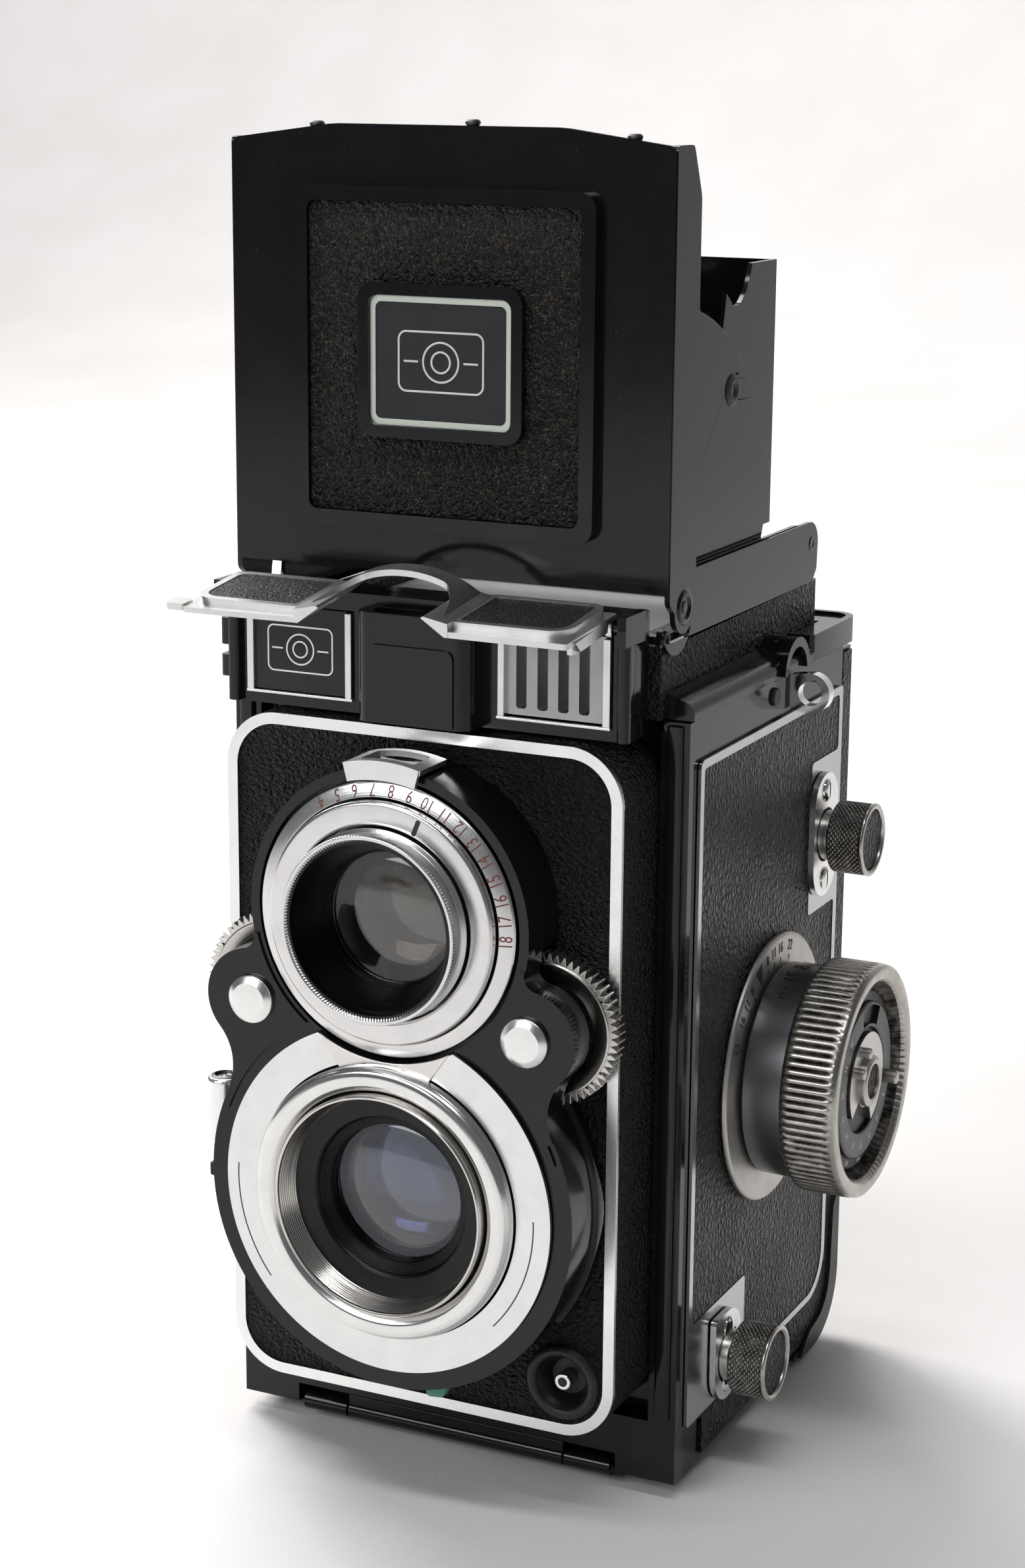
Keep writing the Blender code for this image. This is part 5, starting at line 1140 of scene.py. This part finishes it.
def make_focus_knob():
    """The focus knob with its ribbed grip, numbered drum and the depth scale behind it."""
    at = FOCUS_AT
    drum = [(0, 41.6), (17.2, 41.6), (17.45, 41.9), (17.55, 48.3), (17.9, 48.7), (17.9, 50), (0, 50)]
    piece(lathe("focus_drum", drum, at, SIDE, 160, edge=0.1), "focus_knob", "worn_nickel", DRUM, "focus_knob")
    shaft = rod("focus_shaft", 3.0, 34.0, 41.8, at, SIDE, 48)
    piece(shaft, "focus_knob", "worn_nickel", NICKEL)

    def ribs(angle, _radius, height):
        ends = min(1.0, max(0.0, (height - 48.7) / 0.9), max(0.0, (56.6 - height) / 0.9))
        wave = 0.5 + 0.5 * math.cos(angle * FOCUS_RIBS)
        return -0.55 * ends * wave ** 2.4
    grip = [(17.2, 48.4), (18.4, 48.45), (19.05, 49.0)] + [(19.2, 49.4 + 0.8 * k) for k in range(9)]
    grip += [(19.2, 56.2), (19.15, 56.9), (19.0, 57.6), (18.5, 57.95), (17.0, 57.9), (16.35, 57.3),
            (15.7, 55.0), (15.0, 54.6), (12.0, 54.6),
             (12.0, 50.0), (17.0, 50.0)]
    piece(lathe("focus_grip", grip, at, SIDE, FOCUS_RIBS * 10, True, 0.0, ribs), "focus_knob", "worn_nickel",
            GRIP_METAL, angle=60)
    words = ["3", "3.5", "4", "5", "8", "15", "∞"]
    angles = [62, 49, 36, 17, 1, -13, -27]
    spots = []
    for angle in angles:
        turn = Matrix.Rotation(math.radians(-angle), 4, "X")
        flat = Matrix.Translation((45.0, 0, 17.56)) @ Matrix.Rotation(math.radians(90), 4, "Z")
        spots.append(turn @ flat)
    drum_marks = lettering("focus_numerals", words, 3.9, spots, (at, TOP))
    piece(drum_marks, "focus_knob", "enamel", BLACK_INK)
    disc = [(3.6, 40.1), (22.1, 40.1), (22.35, 40.3), (22.25, 40.75), (21.8, 41.0), (17.4, 41.05),
            (3.6, 41.05)]
    piece(lathe("focus_scale", disc, at, SIDE, 160, True, 0.08), "camera_body", "worn_nickel", KNOB_METAL,
            "focus_scale_disc")
    skirt = [(3.6, 39.4), (17.0, 39.4), (17.0, 40.2), (3.6, 40.2)]
    piece(lathe("focus_skirt", skirt, at, SIDE, 96, True, 0.08), "camera_body", "worn_nickel", NICKEL)
    middle = -25.8
    offsets = [-39.7, -27.1, -18.4, -10.5, 10.5, 18.4, 27.1, 39.7]
    spots = round_spots(20.1, [middle + a for a in offsets], 41.06)
    marks = lettering("depth_numerals", ["22", "16", "11", "8", "8", "11", "16", "22"], 2.5, spots,
            (at, SIDE))
    ticks = []
    for offset in offsets:
        turn = SIDE @ Matrix.Rotation(math.radians(-(middle + offset)), 3, "Z")
        ticks.append(plate("tick", [rounded(-0.1, 0.1, 17.7, 18.6, 0)], 41.0, 41.1, at, turn))
    turn = SIDE @ Matrix.Rotation(math.radians(-middle), 3, "Z")
    ticks.append(plate("tick", [[(0, 17.7), (1.3, 21.2), (-1.3, 21.2)]], 41.0, 41.1, at, turn))
    piece(merge(marks, *ticks), "camera_body", "enamel", BLACK_INK)


def make_film_dial():
    """The reminder dial on the focus knob's face."""
    at = FOCUS_AT
    base = [(0, 55.6), (14.4, 55.6), (14.7, 55.5), (14.85, 55.2), (0, 55.15)]
    piece(lathe("dial_base", base, at, SIDE, 128, edge=0.05), "film_dial", "enamel", SATIN_BLACK, "film_dial")
    rings = lathe("dial_ring", [(8.8, 55.5), (8.8, 56.3), (9.2, 56.45), (12.6, 56.45), (13.0, 56.2),
            (13.0, 55.5)], at, SIDE, 128, True, 0.1)
    cut(rings, plate("window", [arc((0, 0), 12.4, 60, 100, 12) + arc((0, 0), 9.3, 100, 60, 12)], 50, 60, at,
            SIDE))
    piece(rings, "film_dial", "worn_nickel", IRON)
    sector = arc((0, 0), 8.0, -70, 215, 48) + arc((0, 0), 4.4, 215, 290, 12)
    fan = plate("dial_fan", [sector], 55.5, 56.7, at, SIDE)
    piece(fan, "film_dial", "worn_nickel", NICKEL, edge=0.12)
    hub = [(2.9, 57.9), (3.6, 58.0), (4.2, 57.6), (4.3, 55.5), (2.9, 55.5)]
    piece(lathe("dial_hub", hub, at, SIDE, 96, True, 0.12), "film_dial", "worn_nickel", KNOB_METAL)
    piece(lathe("dial_cap", [(0, 57.6), (2.9, 57.5), (2.95, 57.2), (2.95, 55.6), (0, 55.6)], at, SIDE, 64,
            edge=0.1),
          "film_dial", "leather", BODY_LEATHER)
    pegs = []
    for r, a, size in ((11.6, -14.0, 1.15), (6.1, 115.0, 0.9), (6.1, 152.0, 0.9)):
        y, z = r * math.cos(math.radians(a)), r * math.sin(math.radians(a))
        pegs.append(lathe("peg", [(0, 58.4), (size, 58.2), (size, 56.0), (0, 56.0)],
                (0, FOCUS[0] + y, FOCUS[1] + z), SIDE, 32, edge=0.25))
    pegs = merge(*pegs, name="dial_pegs")
    piece(pegs, "film_dial", "worn_nickel", KNOB_METAL)
    words = ["9", "12", "15", "18", "21", "24", "27", "30", "33", "36"]
    marks = lettering("dial_numerals", words, 1.5,
            round_spots(10.9, [120 + 22 * i for i in range(10)], 56.47), (at, SIDE))
    outer = lettering("numerals", ["25", "50", "100", "200", "400", "800"], 1.4,
            round_spots(13.75, [100 + 26 * i for i in range(6)], 55.62),
                      (at, SIDE))
    piece(merge(marks, outer), "film_dial", "satin_chrome", WHITE_INK)


def diamond(radius, rows, count, low, high, depth):
    """A ripple of crossed grooves, which leave small pyramids."""
    def ripple(angle, here, height):
        if abs(here - radius) > 0.01 or not low < height < high:
            return 0.0
        u, v = angle * count / (2 * math.pi), (height - low) / (high - low) * rows
        a, b = abs((u + v) % 1.0 - 0.5) * 2, abs((u - v) % 1.0 - 0.5) * 2
        return -depth * max(a, b) ** 1.5
    return ripple


def make_film_knobs():
    """The two knobs that hold the spools, with their screwed plates."""
    for prefix, centre, half in (("takeup", TAKEUP, 10.6), ("supply", SUPPLY, 7.6)):
        y, z = centre
        outline = rounded(y - 5.6, y + 5.6, z - half, z + half, 5.5, 14)
        if prefix == "supply":
            outline = rounded(y - 5.6, y + 5.6, z - half, z + half, (5.5, 5.5, 5.5, 1.0), 12)
        base = plate(prefix + "_base", [outline, circle(centre, 4.6)], 40.2, 41.2, turn=SIDE)
        piece(base, "camera_body", "satin_chrome", CHROME, prefix + "_plate", edge=0.3)
        for s in (-1, 1):
            at = (0, y, z + s * (half - 3.0))
            head = lathe("head", [(0, 41.75), (1.2, 41.7), (1.9, 41.45), (2.05, 41.1), (0, 41.0)], at, SIDE,
                    40, edge=0.08)
            slot = block("slot", (41.35, at[1] - 0.25, at[2] - 3), (43, at[1] + 0.25, at[2] + 3))
            cut(head, slot)
            head.name = "%s_screw_%s" % (prefix, "low" if s < 0 else "high")
            piece(head, "camera_body", "satin_chrome", BRIGHT)
        at = (0, *centre)
        collar = [(2.9, 34.4), (4.2, 34.4), (4.2, 42.6), (3.9, 42.9), (2.9, 42.9)]
        piece(lathe(prefix + "_sleeve", collar, at, SIDE, 64, True, 0.15), prefix + "_collar", "worn_nickel",
                NICKEL, prefix + "_collar")
        grip = [(6.1, 43.75 + 0.1 * k) for k in range(52)]
        knob = [(0, 31.5), (1.8, 31.5), (2.5, 31.9), (2.5, 43.2), (5.6, 43.2), (5.9, 43.4)] + grip
        knob += [(6.05, 49.05), (6.15, 49.2), (6.1, 49.5), (5.75, 49.65), (5.3, 49.6), (5.15, 49.3),
                (5.1, 48.6), (0, 48.6)]
        knob = lathe(prefix + "_grip", knob, at, SIDE, 288, edge=0,
                ripple=diamond(6.1, 7.0, 40, 43.7, 48.9, 0.34))
        look = TAKEUP_METAL if prefix == "takeup" else SUPPLY_METAL
        piece(knob, prefix + "_knob", "worn_nickel", look, prefix + "_knob", angle=60)
        cap = lathe(prefix + "_cap", [(0, 49.25), (4.9, 49.2), (5.1, 49.0), (5.1, 48.4), (0, 48.4)], at,
                SIDE, 64, edge=0.1)
        piece(cap, prefix + "_knob", "leather", BODY_LEATHER)


def make_advance_knob():
    """The winding knob on the other side, whose shaft turns the upper spool."""
    at = TAKEUP_AT
    profile = [(0, -30.5), (1.8, -30.5), (1.8, -34.0), (2.8, -34.2), (2.8, -41.4), (10.4, -41.5),
            (10.9, -42.0), (10.9, -44.2), (10.2, -44.7)]
    profile += [(10.5, -44.9 - 0.75 * k) for k in range(13)]
    profile += [(10.3, -54.3), (10.9, -54.6), (10.9, -56.8), (10.3, -57.4), (8.8, -57.5), (8.4, -57.1),
            (0, -57.0)]
    knob = lathe("winding_knob", profile, at, SIDE, 480, edge=0, ripple=knurl(60, 0.45, -54.0, -44.8, 1.8))
    piece(knob, "film_advance", "worn_nickel", lathed("winding_metal", (0.6, 0.58, 0.55), 0.28, at, "X", 5.0,
            0.3), "advance_knob", angle=60)
    cap = lathe("winding_cap", [(0, -57.3), (8.1, -57.25), (8.3, -57.0), (8.3, -56.6), (0, -56.6)], at, SIDE,
            96, edge=0.1)
    piece(cap, "film_advance", "leather", BODY_LEATHER)


# ---------------------------------------------------------------- door


def door_outline(inset):
    """The foot, rounded corner and back of the door."""
    corner = arc((75.5, -1.4), 10.0 - inset, -90, 0, 16)
    return [(16.0 + inset, -11.4 + inset)] + corner + [(85.5 - inset, 112.2 - inset)]


def make_door():
    """The back and bottom in one piece: a painted pan, its leather skins, hinge leaves and feet."""
    rim = [(80.1, 112.2), (80.1, -0.5)] + arc((72.1, 4.6), 8.0, 0, -90, 12)[1:] + [(16.0, -3.4)]
    door = plate("door_pan", [door_outline(0) + rim], -38.6, 38.6, turn=SIDE)
    pan = [(17.4, -10.2)] + door_outline(1.2)[1:-1] + [(84.3, 111.0), (70.0, 111.0), (60, 8), (17.4, 4)]
    cut(door, plate("pan", [pan], -37.5, 37.5, turn=SIDE), rod("bush_way", 6.3, -12, -4, (0, BUSH_Y, 0), TOP))
    feet = [lathe("foot", [(0, -14.0), (2.6, -14.0), (3.0, -13.6), (3.0, -11.0), (0, -11.0)],
            (side * 33.5, 20.2, 0), TOP, 40)
            for side in (-1, 1)]
    knuckles = [rod("knuckle", 1.6, *ends, HINGE_AT, SIDE, 40) for ends in ((20.0, 28.0), (-28.0, -20.0))]
    leaves = [block("leaf", (min(a, b), 13.9, -11.4), (max(a, b), 17.0, -9.8)) for a,
            b in ((20.0, 28.0), (-28.0, -20.0))]
    merge(door, *feet, *knuckles, *leaves)
    piece(door, "back_door", "enamel", ENAMEL, "back_door", edge=0.3, angle=50)
    back = plate("door_leather", [rounded(-38.4, 38.4, 15.0, 111.2, 0.8)], -86.0, -85.4, turn=FRONT)
    piece(back, "back_door", "leather", BODY_LEATHER, edge=0.2)
    foot = plate("door_foot_leather", [rounded(-30.8, 30.8, 18.5, 67.5, 1.5), circle((0, BUSH_Y), 8.2)],
            -11.9, -11.3)
    piece(foot, "back_door", "leather", BODY_LEATHER, edge=0.2)
    for side, word in SIDES:
        strip = door_outline(0.6)[1:] + [(80.7, 111.6), (80.7, 0.0)] + arc((72.1, 4.6), 8.6, -25, -90,
                10) + [(24.0, -4.0), (24.0, -10.8)]
        low = 38.55 if side > 0 else -39.1
        edge = plate("door_side_leather_" + word, [strip], low, low + 0.55, turn=SIDE)
        piece(edge, "back_door", "leather", BODY_LEATHER, edge=0.15)
    barrel = merge(rod("hinge_tube", 1.6, -19.7, 19.7, HINGE_AT, SIDE, 48),
            rod("pin", 0.8, -28.3, 28.3, HINGE_AT, SIDE, 24),
                   block("leaf", (-19.7, 12.4, -10.9), (19.7, 14.6, -8.0)))
    piece(barrel, "camera_body", "enamel", ENAMEL, "hinge_barrel", edge=0.2, angle=50)
    bush = [(4.6, -12.1), (5.9, -12.1), (6.0, -11.9), (6.0, -4.6), (0, -4.6), (0, -6.0), (4.6, -6.0)]
    for k in range(11):
        bush += [(4.6, -6.3 - 0.5 * k), (4.95, -6.55 - 0.5 * k)]
    bush += [(4.6, -11.9), (4.6, -12.1)]
    bush = lathe("bush_thread", bush, (0, BUSH_Y, 0), TOP, 64, edge=0)
    piece(bush, "back_door", "worn_nickel", BRASS, "tripod_bush")


def make_guards():
    """The guards and feet at the back's lower corners."""
    for side, word in SIDES:
        outer = [(67.2, -12.7)] + arc((75.5, -1.4), 11.3, -90, 0, 20) + [(86.8, 15.5)]
        inner = [(67.2, -11.7)] + arc((75.5, -1.4), 10.3, -90, 0, 20) + [(85.8, 15.5)]
        low = 32.0 if side > 0 else -39.1
        guard = plate("guard_" + word, [outer + list(reversed(inner))], low, low + 7.1, turn=SIDE)
        face = [(68.6, -12.7)] + arc((75.5, -1.4), 11.3, -90, 0, 20) + [(86.8, 14.6), (83.6, 10.6),
                (83.0, -0.4)]
        face += arc((75.5, -1.4), 7.2, -8, -82, 10) + [(73.0, -9.2)]
        at = 39.12 if side > 0 else -39.72
        cheek = plate("cheek", [soften(face, 0.6, True)], at, at + 0.6, turn=SIDE)
        foot = lathe("foot", [(0, -14.0), (2.2, -14.0), (2.6, -13.6), (2.6, -12.2), (0, -12.2)],
                (side * 35.5, 73.0, 0), TOP, 40)
        merge(guard, cheek, foot)
        piece(guard, "back_door", "enamel", WORN_BLACK, "corner_guard_" + word, edge=0.25)


def make_latch():
    """The sliding catch of the back."""
    latch = plate("latch_slide", [rounded(-7.5, 7.5, 98.0, 107.6, 1.4)], -87.3, -86.05, turn=FRONT)
    rib = [plate("rib", [rounded(-6.0, 6.0, z - 0.35, z + 0.35, 0.3, 3)], -88.2, -87.1,
            turn=FRONT) for z in (99.6, 101.0, 102.4)]
    merge(latch, *rib)
    piece(latch, "back_latch", "worn_nickel", NICKEL, "back_latch", edge=0.22)


# ---------------------------------------------------------------- looks of kept CAD nodes, stage and camera


def dress_kept_nodes():
    """Inner CAD solids whose shapes are right keep them, under better materials."""
    screen = Look("ground_screen", (0.66, 0.69, 0.68), 0.5, Transmission_Weight=0.55, IOR=1.5)
    at = screen.place()
    screen.feed("Normal", screen.bump(screen.noise(at, 14.0, 3.0), 0.05, 0.5))
    silver = Look("mirror_silver", (0.88, 0.89, 0.9), 0.02, 1.0)
    silver.feed("Roughness", silver.remap(silver.noise(silver.place(), 0.3, 4.0), 0.4, 0.75, 0.015, 0.06))
    looks = {"film_gate": SATIN_BLACK, "mirror_box": DARK_INSIDE, "focus_shroud": DARK_INSIDE,
            "shutter_case": DARK_INSIDE,
             "takeup_spool": SATIN_BLACK, "supply_spool": SATIN_BLACK, "pressure_plate": NICKEL,
             "ground_glass": screen.material, "reflex_mirror": silver.material}
    for node, look in looks.items():
        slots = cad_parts[node].data.materials
        slots.clear()
        slots.append(look)


def make_stage():
    """A sheet of pale cloth: the floor, which sweeps up into a backdrop well behind the camera."""
    profile = [(-2.2, 0.0), (-1.2, 0.0), (-0.6, 0.0), (0.0, 0.0), (0.7, 0.0), (1.1, 0.0)]
    bend = [math.pi / 2 * i / 12 for i in range(1, 13)]
    profile += [(1.1 + 0.7 * math.sin(a), 0.7 - 0.7 * math.cos(a)) for a in bend]
    profile += [(1.8, 1.4), (1.8, 2.2)]
    sheet = bmesh.new()
    rows = [[sheet.verts.new((x, y, z)) for x in (-2.6, -1.0, 0.0, 1.0, 2.6)] for y, z in profile]
    for low, high in zip(rows, rows[1:]):
        for i in range(4):
            sheet.faces.new((low[i], low[i + 1], high[i + 1], high[i]))
    mesh = bpy.data.meshes.new("floor")
    sheet.to_mesh(mesh)
    sheet.free()
    mesh.shade_smooth()
    floor = bpy.data.objects.new("floor", mesh)
    bpy.context.scene.collection.objects.link(floor)
    cloth = Look("pale_floor", (0.8, 0.79, 0.78), 0.85)
    at = cloth.place()
    cloud = cloth.noise(at, 0.012, 3.0)
    cloth.feed("Base Color", cloth.blend(cloth.remap(cloud, 0.35, 0.65), (0.83, 0.815, 0.81),
            (0.79, 0.775, 0.765)))
    cloth.feed("Normal", cloth.bump(cloth.noise(at, 1.6, 2.0), 0.12, 0.3))
    mesh.materials.append(cloth.material)


def area_light(name, at, target, size, power, colour=(1, 1, 1)):
    """A rectangular light in metres, turned to a target."""
    data = bpy.data.lights.new(name, "AREA")
    data.shape = "RECTANGLE"
    data.size, data.size_y = size
    data.energy = power
    data.color = colour
    made = bpy.data.objects.new(name, data)
    made.location = at
    made.rotation_euler = (Vector(target) - Vector(at)).to_track_quat("-Z", "Y").to_euler()
    bpy.context.scene.collection.objects.link(made)


def make_light():
    """Soft light from the left and above, with a weak fill from the front."""
    middle = (0.0, 0.0, 0.1)
    area_light("window_left", (-0.95, 0.45, 0.85), middle, (0.5, 0.5), 10.5, (1.0, 0.985, 0.965))
    area_light("overhead", (-0.5, 0.45, 1.2), middle, (0.5, 0.6), 8.6, (1.0, 0.99, 0.98))
    area_light("backdrop", (-0.9, 0.85, 1.25), (-0.9, 1.8, 0.6), (1.4, 0.5), 13.0, (1.0, 0.985, 0.98))
    area_light("top_strip", (0.05, -0.35, 0.95), middle, (0.9, 0.1), 3.0, (0.97, 0.985, 1.0))
    area_light("front_fill", (-0.5, -1.2, 0.8), middle, (0.9, 0.6), 8.5, (0.97, 0.985, 1.0))
    world = bpy.data.worlds.new("studio")
    world.use_nodes = True
    world.node_tree.nodes["Background"].inputs["Color"].default_value = (0.93, 0.94, 0.96, 1.0)
    world.node_tree.nodes["Background"].inputs["Strength"].default_value = 0.14
    bpy.context.scene.world = world
    bpy.context.scene.view_settings.view_transform = "Standard"


def make_camera():
    """The camera at the angle of the picture."""
    azimuth, elevation, roll = (math.radians(a) for a in CAMERA_ANGLES)
    back = Vector((math.sin(azimuth) * math.cos(elevation), -math.cos(azimuth) * math.cos(elevation),
            math.sin(elevation)))
    right = Vector((math.cos(azimuth), math.sin(azimuth), 0.0))
    right = math.cos(roll) * right + math.sin(roll) * back.cross(right)
    data = bpy.data.cameras.new("camera")
    data.lens = CAMERA_LENS
    data.sensor_width = 36.0
    data.clip_start, data.clip_end = 0.01, 20.0
    made = bpy.data.objects.new("camera", data)
    made.matrix_world = Matrix.Translation(CAMERA_AT) @ Matrix((right, back.cross(right),
            back)).transposed().to_4x4()
    bpy.context.scene.collection.objects.link(made)
    bpy.context.scene.camera = made


make_camera()
make_casting()
make_top_cover()
for way, way_word in SIDES:
    make_side(way, way_word)
    make_strap_lug(way, way_word)
make_finder()
make_lid()
make_hood_leaves()
make_magnifier()
make_meter()
make_flap()
make_board()
make_shell()
make_view_lens()
make_value_ring()
make_take_lens()
make_front_details()
make_release()
make_focus_knob()
make_film_dial()
make_film_knobs()
make_advance_knob()
make_door()
make_guards()
make_latch()
dress_kept_nodes()
make_stage()
make_light()
